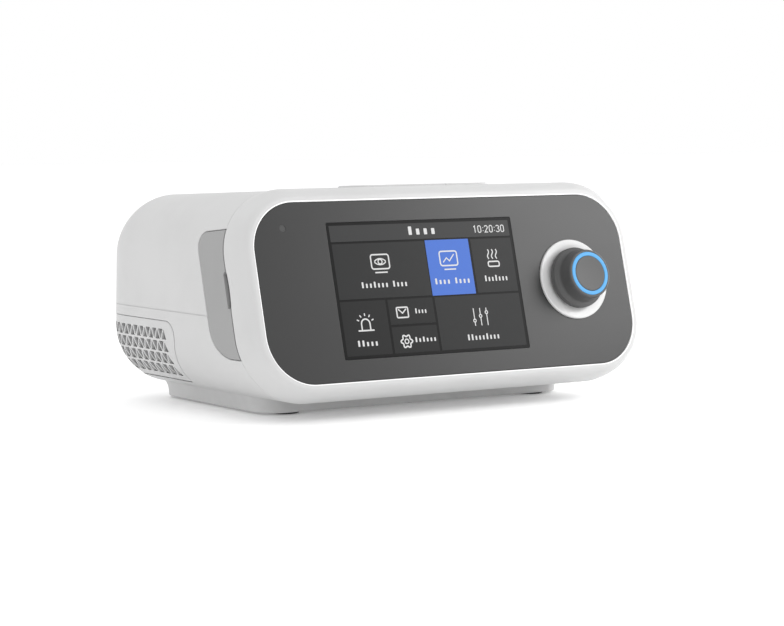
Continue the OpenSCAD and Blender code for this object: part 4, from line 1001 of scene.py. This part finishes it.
depth_line = lattice.node("GeometryNodeCurvePrimitiveLine", {"mode": "POINTS"}, {
    "Start": (0, 0, 0), "End": lattice.vector(0.0, 0.0, lattice.read("Depth"))})
cutter = lattice.node("GeometryNodeCurveToMesh", None, {
    "Curve": depth_line, "Profile Curve": eased_tri, "Fill Caps": True})
row_line = lattice.node("GeometryNodeMeshLine", None, {
    "Count": lattice.read("Columns"), "Offset": lattice.vector(lattice.read("Half_pitch"))})
half_turn = lattice.sum("MULTIPLY", lattice.sum(
    "MODULO", lattice.node("GeometryNodeInputIndex"), 2.0), math.pi)
row = lattice.node("GeometryNodeInstanceOnPoints", None, {
    "Points": row_line, "Instance": cutter, "Rotation": lattice.vector(0.0, 0.0, half_turn)})
down_line = lattice.node("GeometryNodeMeshLine", None, {
    "Count": lattice.read("Rows"),
    "Offset": lattice.vector(0.0, lattice.sum("MULTIPLY", lattice.read("Row_pitch"), -1.0))})
lattice.ends(lattice.node("GeometryNodeInstanceOnPoints", None, {
    "Points": down_line, "Instance": row}))


def triangle_run(name, start, stop, depth, matrix):
    """A run of triangular cutters from one place along its row to another."""
    columns = int((stop - start) // (tri_pitch / 2)) + 1
    run = lattice.grow(
        name, Columns=columns, Rows=tri_rows, Half_pitch=tri_pitch / 2 * MM,
        Row_pitch=row_pitch * MM, Width=tri_w * MM, Height=tri_h * MM, Corner=tri_soft * MM,
        Depth=depth * MM, Finish=white_shell)
    print(name, "holes:", columns * tri_rows)
    return shift(run, matrix)


reach, row_mid = 26, row_z + tri_h / 2
side_from, back_from = cover_y + 12, 10 - half_w
side_run = triangle_run("side_run", side_from, back_y - 8, reach, Matrix(
    ((0, 0, 1, -half_w - 1), (1, 0, 0, side_from), (0, 1, 0, row_mid), (0, 0, 0, 1))))
back_run = triangle_run("back_run", back_from, cover_x - 4, 16, Matrix(
    ((1, 0, 0, back_from), (0, 0, -1, back_y + 1), (0, 1, 0, row_mid), (0, 0, 0, 1))))


def mitre(points):
    """Prism over the corner: each run of holes keeps to its own half."""
    return prism("mitre", [(x - half_w, y + back_y) for x, y in points], 0, seam_h)


carve(side_run, [mitre([(-2, 2 - tri_bar), (reach, -reach - tri_bar), (reach, -cover_long),
                        (-2, -cover_long)])], "INTERSECT")
carve(back_run, [mitre([(tri_bar - 2, 2), (reach + tri_bar, -reach), (cover_wide, -reach),
                        (cover_wide, 2)])], "INTERSECT")

# %% Inlet cover
cover = carve(loft("inlet_cover_moulding", body_rings(cover_inset)),
              [loft("inside", body_rings(cover_inset + cover_t))])
carve(cover, [cover_prism("region", -gap, cover_slit)], "INTERSECT")
trim_rim(cover, cover_edge, lambda: cover_prism("rim", 1),
         lambda cut: cover_prism("kept", -gap - cut, cover_slit), cover_inset)
carve(cover, [side_run, back_run])
dress(cover, white_shell, "inlet_cover", "housing_white", "inlet_cover")

# %% [markdown]
# ## The two top buttons
#
# The buttons share one long oval with a narrow split. Each has a raised face with a soft edge. Two
# plain signs are pressed into them: a broken ring with a stroke for start, and a rising wedge for
# the pressure ramp. A sign is a ribbon, a closed bar that follows a drawn line.

# %% Buttons
def pad_part(x_from, x_to, inset):
    """Half of the oval between two places along the top, as an outline with even points."""
    full = stadium(pad_w - 2 * inset, pad_d - 2 * inset, 32)
    return [(min(max(x, x_from), x_to), y) for x, y in full]


def button(name, x_from, x_to, stem_x):
    """One half of the pad: a cap with rounded edges, a lip that holds it in and a stem."""
    edge_in, edge_high, split_in, outer_end = 1.3, 0.9, 0.6, 40
    lip_w, stem_r, stem_l = 1, 2.2, 0.8
    rings = [placed(pad_place, [(x, y, lip_low) for x, y in pad_part(x_from, x_to, gap / 2)])]
    for t in np.linspace(0, 90, 10):
        c = 1 - cos(t)
        left = x_from + (split_in * c if x_from > -outer_end else 0)
        right = x_to - (split_in * c if x_to < outer_end else 0)
        rings.append(placed(pad_place, [
            (x, y, pad_rise - edge_high + edge_high * sin(t))
            for x, y in pad_part(left, right, gap / 2 + edge_in * c)]))
    cap = loft(name, rings)
    lip = prism("lip", pad_part(x_from, x_to, -lip_w), lip_low, lip_up, pad_place)
    stem = prism("stem", circle(stem_r, 32, stem_x), lip_low - stem_l, lip_low + 0.5, pad_place)
    return carve(cap, [lip, stem], "UNION")


def ribbon(name, line, width, low, high, where, closed=False):
    """A bar of even width along a flat line, with mitred corners."""
    points = [Vector((x, y)) for x, y in line]
    n = len(points)
    rings = []
    for i, here in enumerate(points):
        before = here - points[i - 1] if i or closed else points[1] - here
        after = points[(i + 1) % n] - here if i < n - 1 or closed else here - points[i - 1]
        before, after = before.normalized(), after.normalized()
        across = Vector((-(before + after).y, (before + after).x)).normalized()
        reach = width / 2 / max(0.4, across.dot(Vector((-before.y, before.x))))
        near, far = here - across * reach, here + across * reach
        rings.append(placed(where, [(*near, low), (*far, low), (*far, high), (*near, high)]))
    faces = [] if closed else [(0, 1, 2, 3), tuple(range(4 * n - 4, 4 * n))]
    for k in range(n if closed else n - 1):
        m = (k + 1) % n
        faces += [(4 * k + i, 4 * k + (i + 1) % 4, 4 * m + (i + 1) % 4, 4 * m + i)
                  for i in range(4)]
    return put(name, [p for ring in rings for p in ring], faces)


start_x, ramp_x = mix(-pad_w / 2, split, 0.5), mix(split, pad_w / 2, 0.5)
split_gap, sign_deep = 0.5, 0.25
start = button("start_button_cap", -pad_w / 2 - 1, split - split_gap / 2, start_x)
ramp = button("ramp_button_cap", split + split_gap / 2, pad_w / 2 + 1, ramp_x)
sign_low, sign_high = pad_rise - sign_deep, pad_rise + 1
carve(start, [ribbon("sign", line, 0.7, sign_low, sign_high, pad_place)
              for line in (arc(start_x, 0, 3.4, 125, 415, 40), [(start_x, 0.2), (start_x, 4.2)])])
carve(ramp, [ribbon("wedge", [(ramp_x - 4.5, -2), (ramp_x + 4.5, -2), (ramp_x + 4.5, 2.4)], 0.6,
                    sign_low, sign_high, pad_place, closed=True)])
dress(start, white_shell, "start_button", "button_white", "start_button")
dress(ramp, white_shell, "ramp_button", "button_white", "ramp_button")

# %% [markdown]
# ## The knob and its dish
#
# Turned shapes come from one profile, swept round the knob's axis. The knob has a wide foot, a
# hollow waist and a slightly tapered grip with a soft rim. Its face is a satin disc in a ring that
# glows blue.

# %% Turned pieces
knob_x = panel_w / 2 - 33.9
dish_r, knob_r, ring_r = 20.5, 15.5, 11
knob_axis = on_face @ Matrix.Translation((knob_x, 0, 0))


def turned_piece(name, profile, where, steps=128):
    """Sweeps a closed (radius, height) profile round the z axis of a local frame."""
    count = len(profile)
    points, faces = [], []
    for i in range(steps):
        a = 2 * math.pi * i / steps
        points += placed(where, [(r * math.cos(a), r * math.sin(a), z) for r, z in profile])
    for i in range(steps):
        j = (i + 1) % steps
        for k in range(count):
            m = (k + 1) % count
            faces.append((i * count + k, j * count + k, j * count + m, i * count + m))
    made = put(name, points, faces, tidy=False)
    shape = bmesh.new()
    shape.from_mesh(made.data)
    bmesh.ops.remove_doubles(shape, verts=shape.verts, dist=1e-7)
    bmesh.ops.dissolve_degenerate(shape, dist=1e-8, edges=shape.edges)
    bmesh.ops.recalc_face_normals(shape, faces=shape.faces)
    shape.to_mesh(made.data)
    shape.free()
    return made


def bend(start, corner, end, steps=6):
    """A curve from start to end that is pulled towards a corner."""
    return [tuple(mix(mix(start[k], corner[k], q), mix(corner[k], end[k], q), q)
                  for k in (0, 1)) for q in np.linspace(0, 1, steps + 1)]


dish_floor, dish_rise, dish_lip = -3, 0.9, 0.9
dish_profile = [(4.8, dish_floor - 1.6), (dish_r - dish_lip, dish_floor - 1.6),
                (dish_r - dish_lip, -panel_d), (dish_r, -panel_d)]
dish_profile += bend((dish_r, dish_rise - 0.6), (dish_r, dish_rise), (dish_r - 0.6, dish_rise))
dish_profile += bend((dish_r - 0.6, dish_rise), (knob_r + 0.6, dish_rise - 0.1),
                     (knob_r - 2.5, dish_rise - 1.2), 16)[1:]
dish_profile += bend((knob_r - 2.5, dish_rise - 1.2), (knob_r - 3.5, dish_rise - 1.7),
                     (knob_r - 4, dish_floor), 8)[1:]
dish_profile += [(4.8, dish_floor)]
dish = turned_piece("knob_dish_turned", dish_profile, knob_axis)
dress(dish, white_gloss, "housing", "bezel_white", "knob_dish", degrees=40)

knob_floor, hub_low, waist_r, grip_r = 2.2, 1, ring_r + 1.9, ring_r + 1.7
ring_seat = 10.5
knob_profile = [(5, hub_low), (5, ring_seat - 2.5), (waist_r - 1.5, ring_seat - 2.5),
                (waist_r - 1.5, 7), (knob_r - 1.5, 5), (knob_r - 1.5, knob_floor)]
knob_profile += bend((knob_r - 0.3, knob_floor), (knob_r, knob_floor), (knob_r, knob_floor + 0.3))
knob_profile += bend((knob_r, 4.2), (knob_r, 5), (knob_r - 0.7, 5.4))
knob_profile += bend((knob_r - 0.7, 5.4), (waist_r + 0.1, 5.8), (waist_r, 7.8), 12)[1:]
knob_profile += bend((waist_r, 7.8), (waist_r - 0.05, 9.5), (grip_r, knob_h - 3), 4)[1:]
knob_profile += bend((grip_r, knob_h - 3), (grip_r - 0.2, knob_h), (ring_r + 0.7, knob_h), 10)[1:]
knob_profile += [(ring_r + 0.15, knob_h), (ring_r + 0.1, knob_h - 0.1), (ring_r + 0.1, ring_seat),
                 (0, ring_seat), (0, hub_low)]
knob = turned_piece("knob_turned", knob_profile, knob_axis)
dress(knob, soft_black, "knob", "knob_grey", "knob", degrees=40)

ring_in = ring_r - 1.85
ring_profile = [(ring_in, ring_seat), (ring_r, ring_seat)]
ring_profile += bend((ring_r, knob_h - 0.1), (ring_r, knob_h + 0.2), (ring_r - 0.4, knob_h + 0.2))
ring_profile += bend((ring_in + 0.4, knob_h + 0.2), (ring_in, knob_h + 0.2), (ring_in, knob_h))
ring = turned_piece("knob_ring_turned", ring_profile, knob_axis)
dress(ring, ring_blue, "knob", "ring_blue", "knob_light_ring", degrees=40)

cap_r, cap_hollow = ring_in - 0.05, 0.22
cap_profile = [(0, ring_seat), (cap_r, ring_seat)]
cap_profile += bend((cap_r, knob_h - 0.3), (cap_r, knob_h + 0.1), (cap_r - 0.5, knob_h + 0.08))
cap_profile += [(r, knob_h + 0.08 - cap_hollow * (1 - (r / (cap_r - 0.5)) ** 2))
                for r in np.linspace(cap_r - 0.5, 0, 14)[1:]]
cap = turned_piece("knob_cap_turned", cap_profile, knob_axis)
dress(cap, cap_satin, "knob", "cap_grey", "knob_cap", degrees=40)

# %% [markdown]
# ## Front panel and window
#
# The panel is a plate with two openings. Its outer edge has a small radius, and so has the edge of
# the opening over the picture, where the window lies a little deeper: that step gives the dark line
# round the picture.

# %% Panel
screen_w, screen_h, screen_x = 108.6, 67, -13.2
sensor_x, sensor_v, sensor_seat_r = 16.8 - panel_w / 2, 31.5, 1.65
panel_rings = [plate_ring(panel_w, panel_h, panel_r, panel_back)]
panel_rings += [plate_ring(panel_w - 2 * size, panel_h - 2 * size, panel_r - size,
                           panel_d + edge - sink)
                for sink, size in [(edge * sin(t), edge * (1 - cos(t))) for t in quarter]]
panel = loft("front_panel_plate", panel_rings)


def screen_ring(grow, r, depth):
    """Ring round the opening for the window, grown over its size."""
    w, h = screen_w + grow, screen_h + grow
    return placed(on_face, [(screen_x + x, y - h / 2, -depth)
                            for x, y in rounded(w / 2, h, r, r, 6)])


screen_r, slope_w, slope_d, rebate_w, rebate_d = 0.8, 0.5, 0.25, 4.3, 1.3
opening = [screen_ring(2, 1.4, -1), screen_ring(slope_w, 0.9, panel_d - 0.01)]
opening += [screen_ring(slope_w * (1 - sin(t)), screen_r, panel_d + slope_d * (1 - cos(t)))
            for t in (30, 60, 90)]
opening += [screen_ring(0, screen_r, panel_back + 1)]
back_step = [screen_ring(rebate_w, 1, d) for d in (rebate_d, panel_back + 1)]
dish_seat = prism("dish_seat", circle(dish_r - dish_lip + 0.15, 96, knob_x), -5, 2, on_face)
sensor_seat = prism("sensor_seat", circle(sensor_seat_r, 48, sensor_x, sensor_v), -5, 2, on_face)
carve(panel, [loft("opening", opening), loft("back_step", back_step), dish_seat, sensor_seat])
dress(panel, panel_dark, "housing", "panel_grey", "front_panel")
print("panel opening", screen_w, "x", screen_h, "mm")

# %% [markdown]
# ## The picture on the display
#
# The display shows a menu of tiles. Each tile is a very thin plate that lies on the window, lit
# from inside, and the signs on it are thin ribbons. A row of short bars goes with each sign, and
# the clock shows plain figures. All of it is drawn in millimetres from the picture's upper left
# corner.

# %% Tiles
picture_w, picture_h = 108, 66.4
on_picture = on_face @ Matrix.Translation((screen_x - picture_w / 2, picture_h / 2, -0.6)) @ \
    Matrix.Scale(-1, 4, (0, 1, 0))


def joined(name, solids):
    """One object out of many closed solids that don't touch."""
    shape = bmesh.new()
    for solid in solids:
        shape.from_mesh(solid.data)
        bpy.data.objects.remove(solid)
    bmesh.ops.recalc_face_normals(shape, faces=shape.faces)
    data = bpy.data.meshes.new(name)
    shape.to_mesh(data)
    shape.free()
    piece = bpy.data.objects.new(name, data)
    scene.collection.objects.link(piece)
    return piece


ink_low, ink_high = 0.04, 0.09


def tile(x0, y0, x1, y1, low=-0.03, high=0.05, steps=3):
    """A thin plate with small round corners, from its upper left to its lower right corner."""
    outline = [(x + (x0 + x1) / 2, y + y0) for x, y in
               rounded((x1 - x0) / 2, y1 - y0, 0.25, 0.25, steps)]
    return prism("tile", outline, low, high, on_picture)


for name, finish, places in (
        ("picture_top_bar", tile_bar, [(1.3, 1.2, 106.7, 9.2)]),
        ("picture_wide_tiles", tile_grey, [
            (1.5, 10.3, 54.6, 37.5), (82.2, 10.3, 106.7, 37.5), (55.8, 38.6, 106.7, 65.1)]),
        ("picture_small_tiles", tile_dim, [
            (1.4, 38.6, 27.1, 65.1), (28.4, 38.6, 54.5, 51), (28.4, 52.2, 54.5, 65.1)]),
        ("picture_chosen_tile", tile_blue, [(55.1, 10, 80.9, 37.8)])):
    tiles = joined(name, [tile(*place) for place in places])
    seat(coat(tiles, finish), "housing", "lens_dark")

# %% Signs on the tiles
ink = []


def stroke(line, width, closed=False):
    ink.append(ribbon("stroke", line, width, ink_low, ink_high, on_picture, closed))


def frame_box(cx, cy, w, h, r):
    stroke([(cx + x, cy - h / 2 + y) for x, y in rounded(w / 2, h, r, r, 5)], 0.7, True)


def bar_row(cx, cy, width, lengths, high=2.1):
    """Short bars in groups of these lengths; every first and some later ones are taller."""
    space, tall_by, bar_share = 0.8, 1.4, 0.42
    pitch = width / (sum(lengths) + space * (len(lengths) - 1) - 0.5)
    x = cx - width / 2
    for n in lengths:
        for k in range(n):
            tall = high * (tall_by if k == 0 or (k * 7 + n) % 4 == 0 else 1)
            ink.append(tile(x, cy + high / 2 - tall, x + bar_share * pitch, cy + high / 2,
                            ink_low, ink_high, 2))
            x += pitch
        x += space * pitch


# a watched screen
frame_box(27.5, 19.7, 10.3, 7.1, 1.2)
stroke([(23.9, 25), (31, 25)], 0.65)
stroke(arc(27.5, 22.9, 4.7, 230, 310, 10) + arc(27.5, 16.5, 4.7, 50, 130, 10), 0.55, True)
stroke(arc(27.5, 19.7, 1.15, 0, 345, 15), 0.55, True)
bar_row(28.2, 31.3, 26, (7, 4))
# a screen with a curve
frame_box(67.6, 19.5, 10.3, 7.2, 1.2)
stroke([(64.3, 25), (71.2, 25)], 0.65)
stroke([(64.2, 21.4), (66.4, 19.2), (68, 20.8), (71, 17.5)], 0.55)
bar_row(68.1, 31.2, 20.5, (4, 4))
# warmth over a plate
for k in (-1, 0, 1):
    stroke([(94.1 + 2.4 * k + 0.5 * math.sin(t * 2 * math.pi / 4.6), 15.9 + t)
            for t in np.linspace(0, 4.8, 15)], 0.6)
frame_box(94.3, 23.3, 6.6, 2.5, 0.8)
bar_row(94.5, 30.9, 13.6, (7,))
# a beacon with rays
stroke([(9.6, 53), (18.6, 53)], 0.7)
stroke([(11.8, 52.7)] + [(x, 2 * 49.8 - y) for x, y in arc(14.2, 49.8, 2.4, 180, 0, 14)] +
       [(16.6, 52.7)], 0.7)
for a in (25, 57, 90, 123, 155):
    stroke([(14.2 + r * cos(a), 49.8 - r * sin(a)) for r in (3.9, 5.2)], 0.6)
bar_row(13.9, 59.6, 11.2, (5,))
# a letter
frame_box(36, 45.2, 6.5, 5, 0.6)
stroke([(33.7, 43.5), (36, 45.6), (38.3, 43.5)], 0.6)
bar_row(46.8, 45.2, 6.5, (4,), 1.8)
# a wheel with six lobes
stroke([(36.1 + r * math.cos(a), 59.5 + r * math.sin(a)) for a, r in
        [(t, 2.85 + 0.5 * math.cos(6 * t)) for t in np.linspace(0, 2 * math.pi, 61)[:-1]]],
       0.7, True)
stroke(arc(36.1, 59.5, 1.1, 0, 345, 15), 0.6, True)
bar_row(47.2, 59.3, 12, (6,), 1.8)
# three sliders
for k, at in ((-1, 51.4), (0, 49.2), (1, 47.5)):
    x = 81.5 + 3.8 * k
    stroke([(x, 45.2), (x, at - 0.9)], 0.5)
    stroke([(x, at + 0.9), (x, 54)], 0.5)
    stroke(arc(x, at, 0.75, 0, 330, 11), 0.5, True)
bar_row(81.5, 60, 18.8, (9,))
# the top bar with its clock
bar_row(54.3, 5.5, 15.7, (4,), 3)

figures = {
    "0": [arc(1.3, 4.1, 1.1, 180, 0, 8) + arc(1.3, 1.3, 1.1, 0, -180, 8) + [(0.2, 4.1)]],
    "1": [[(0.6, 4.4), (1.5, 5.2), (1.5, 0.2)]],
    "2": [arc(1.3, 4.0, 1.15, 165, -35, 8) + [(0.2, 0.3), (2.5, 0.3)]],
    "3": [arc(1.3, 4.0, 1.1, 155, -80, 8), arc(1.3, 1.5, 1.25, 80, -155, 8)],
    ":": [[(0.5, 1.1), (0.5, 1.7)], [(0.5, 3.4), (0.5, 4.0)]]}
x, clock_low, wide, high, figure_step, colon_step = 84.9, 7.2, 0.8, 0.68, 2.85, 1.25
for sign in "10:20:30":
    for line in figures[sign]:
        stroke([(x + wide * px, clock_low - high * py) for px, py in line], 0.45)
    x += colon_step if sign == ":" else figure_step
seat(coat(joined("picture_signs", ink), ink_white), "housing", "lens_dark")
print("marks drawn:", len(ink))

# %% [markdown]
# ## Outlet, feet and screws
#
# The hose slides on a tube with a gently tapered rim, and a flange hides the cut in the back wall.
# Feet and screws are turned too. A screw head carries a cross recess, cut with two small bars.

# %% Air outlet
outlet_place = Matrix.Translation((outlet_x, back_y, seam_h)) @ Matrix.Rotation(
    -math.pi / 2, 4, "X")
outlet_r, outlet_bore, groove_r, flange_r = 11, 9, 12.6, 15
cad_low = (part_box("air_outlet")[0][1] / MM) - back_y
inner_z, inner_t = -wall - gap, 1.4
outlet_profile = [(outlet_bore, cad_low), (outlet_r + 0.05, cad_low), (outlet_r + 0.05, -8),
                  (groove_r, -8), (groove_r, inner_z - inner_t), (flange_r, inner_z - inner_t),
                  (flange_r, inner_z), (groove_r, inner_z), (groove_r, 0.05), (flange_r, 0.05)]
outlet_profile += bend((flange_r, 0.7), (flange_r, 1.5), (flange_r - 0.8, 1.5), 5)
outlet_profile += bend((outlet_r + 0.7, 1.5), (outlet_r, 1.5), (outlet_r - 0.02, 2.2), 5)
outlet_profile += bend((outlet_r - 0.12, outlet_l - 1.2), (outlet_r - 0.12, outlet_l),
                       (outlet_r - 0.8, outlet_l), 6)
outlet_profile += bend((outlet_bore + 0.6, outlet_l), (outlet_bore, outlet_l),
                       (outlet_bore, outlet_l - 0.6), 4)
outlet = turned_piece("air_outlet_turned", outlet_profile, outlet_place, 96)
print("outlet reaches in by", round(-cad_low, 2), "mm")
dress(outlet, inner_white, "housing", "inner_plastic", "air_outlet", degrees=40)

# %% Rubber feet
foot_r, foot_h = 7, 2.1
foot_profile = [(0, 0.35), (4.6, 0.35), (4.9, 0.05)]
foot_profile += bend((5.3, 0), (foot_r, 0), (foot_r, 1.1), 5)
foot_profile += [(foot_r, foot_h), (0, foot_h)]
foot_set = joined("feet_turned", [
    turned_piece("foot", foot_profile, Matrix.Translation((x, y, 0)), 48) for x, y in feet])
dress(foot_set, rubber, "housing", "foot_rubber", "rubber_feet", degrees=40)

# %% Screws from below
head_r, head_h, screw_l, cross = 2.8, 2.4, 20, (1.6, 0.35)
thread_r, core_r, thread_pitch, thread_turns = 1.45, 1.2, 1.3, 14
screw_profile = [(0, -head_h)] + bend((1.4, -head_h), (head_r, -head_h), (head_r, -head_h + 1), 5)
screw_profile += [(head_r, -0.1), (thread_r, 0)]
for k in range(thread_turns):
    turn = 1 + k * thread_pitch
    screw_profile += [(core_r, turn), (thread_r, turn + 0.45)]
screw_profile += [(core_r, screw_l - 0.9), (0.5, screw_l - 0.1), (0, screw_l - 0.1)]
screws = []
for x, y in boss_at:
    place = Matrix.Translation((x, y, head_z))
    screw = turned_piece("screw", screw_profile, place, 32)
    screws.append(carve(screw, [
        prism("bar", [(-a, -b), (a, -b), (a, b), (-a, b)], -head_h - 1, -head_h + 1.3, place)
        for a, b in (cross, cross[::-1])]))
screw_set = joined("housing_screws_turned", screws)
dress(screw_set, steel, "housing", "steel", "housing_screws", degrees=40)

# %% [markdown]
# ## The filter pad
#
# The filter is a soft pad of fleece in a frame behind the inlet cover. It is a flat cushion: its
# faces swell a little, its edges are rounded, and its sides give way between the corners.

# %% Filter pad
low, high = (Vector(c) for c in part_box("air_filter"))
centre, half = (low + high) / 2, (high - low) / 2
pad = bmesh.new()
steps, rows = 22, []
edge_share, swell, give = 0.55, 0.42, 0.03
for side in (-1, 1):
    for i in range(steps + 1):
        for j in range(steps + 1):
            u, v = 2 * i / steps - 1, 2 * j / steps - 1
            crown = (1 - abs(u) ** 4) * (1 - abs(v) ** 4)
            pull = 1 - give * ((1 - u * u) * abs(v) ** 6 + (1 - v * v) * abs(u) ** 6)
            rows.append(pad.verts.new((
                centre.x + side * half.x * (edge_share + swell * crown ** 0.5),
                centre.y + half.y * u * pull, centre.z + half.z * v * pull)))
n = steps + 1
for side in (0, 1):
    for i in range(steps):
        for j in range(steps):
            a = side * n * n + i * n + j
            pad.faces.new([rows[a], rows[a + 1], rows[a + n + 1], rows[a + n]])
rim = [i * n for i in range(n)] + [steps * n + j for j in range(1, n)]
rim += [i * n + steps for i in range(steps - 1, -1, -1)] + list(range(steps - 1, 0, -1))
for k in range(len(rim)):
    a, b = rim[k], rim[(k + 1) % len(rim)]
    pad.faces.new([rows[a], rows[b], rows[n * n + b], rows[n * n + a]])
bmesh.ops.recalc_face_normals(pad, faces=pad.faces)
pad_mesh = bpy.data.meshes.new("filter_pad")
pad.to_mesh(pad_mesh)
pad.free()
filter_pad = bpy.data.objects.new("filter_pad", pad_mesh)
scene.collection.objects.link(filter_pad)
dress(filter_pad, filter_fleece, "housing", "filter_white", "air_filter", degrees=60)

# %% [markdown]
# ## Finishes for the pieces that keep their engineering shape
#
# Boards, ducts, blower and sockets are right as the engineering model has them. They only get their
# finishes, piece by piece, through the model's own material slots.

# %% Finishes on the carried-over pieces
finish_of = {
    "display_lens": lens_dark, "sensor_window": sensor_smoke, "panel_gasket": dark_plastic,
    "display_module": steel, "display_carrier": inner_white, "control_board": lacquer,
    "encoder_body": steel, "encoder_rotor": turned, "knob_shaft": turned,
    "button_mat": pale_rubber, "button_board": lacquer, "flap_strip": soft_grey,
    "port_bay": inner_white, "card_socket": steel, "oximeter_socket": dark_plastic,
    "inlet_duct": inner_white, "blower_box": inner_white, "blower_lid": inner_white,
    "blower_mounts": rubber, "volute_lower": blower_black, "volute_upper": blower_black,
    "impeller": wheel_plastic, "motor_rotor": turned, "motor_case": dark_plastic,
    "motor_bearings": turned, "outlet_seal": pale_rubber, "flow_sensor": blower_black,
    "power_inlet": dark_plastic, "main_board": lacquer, "board_screws": steel,
    "alarm_speaker": dark_plastic}
for name, finish in finish_of.items():
    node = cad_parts[name]
    for k in range(len(node.material_slots)):
        node.material_slots[k].material = finish
bare = [name for name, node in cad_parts.items()
        if not node.hide_render and name not in finish_of]
print("carried over:", len(finish_of), "without a finish:", bare)
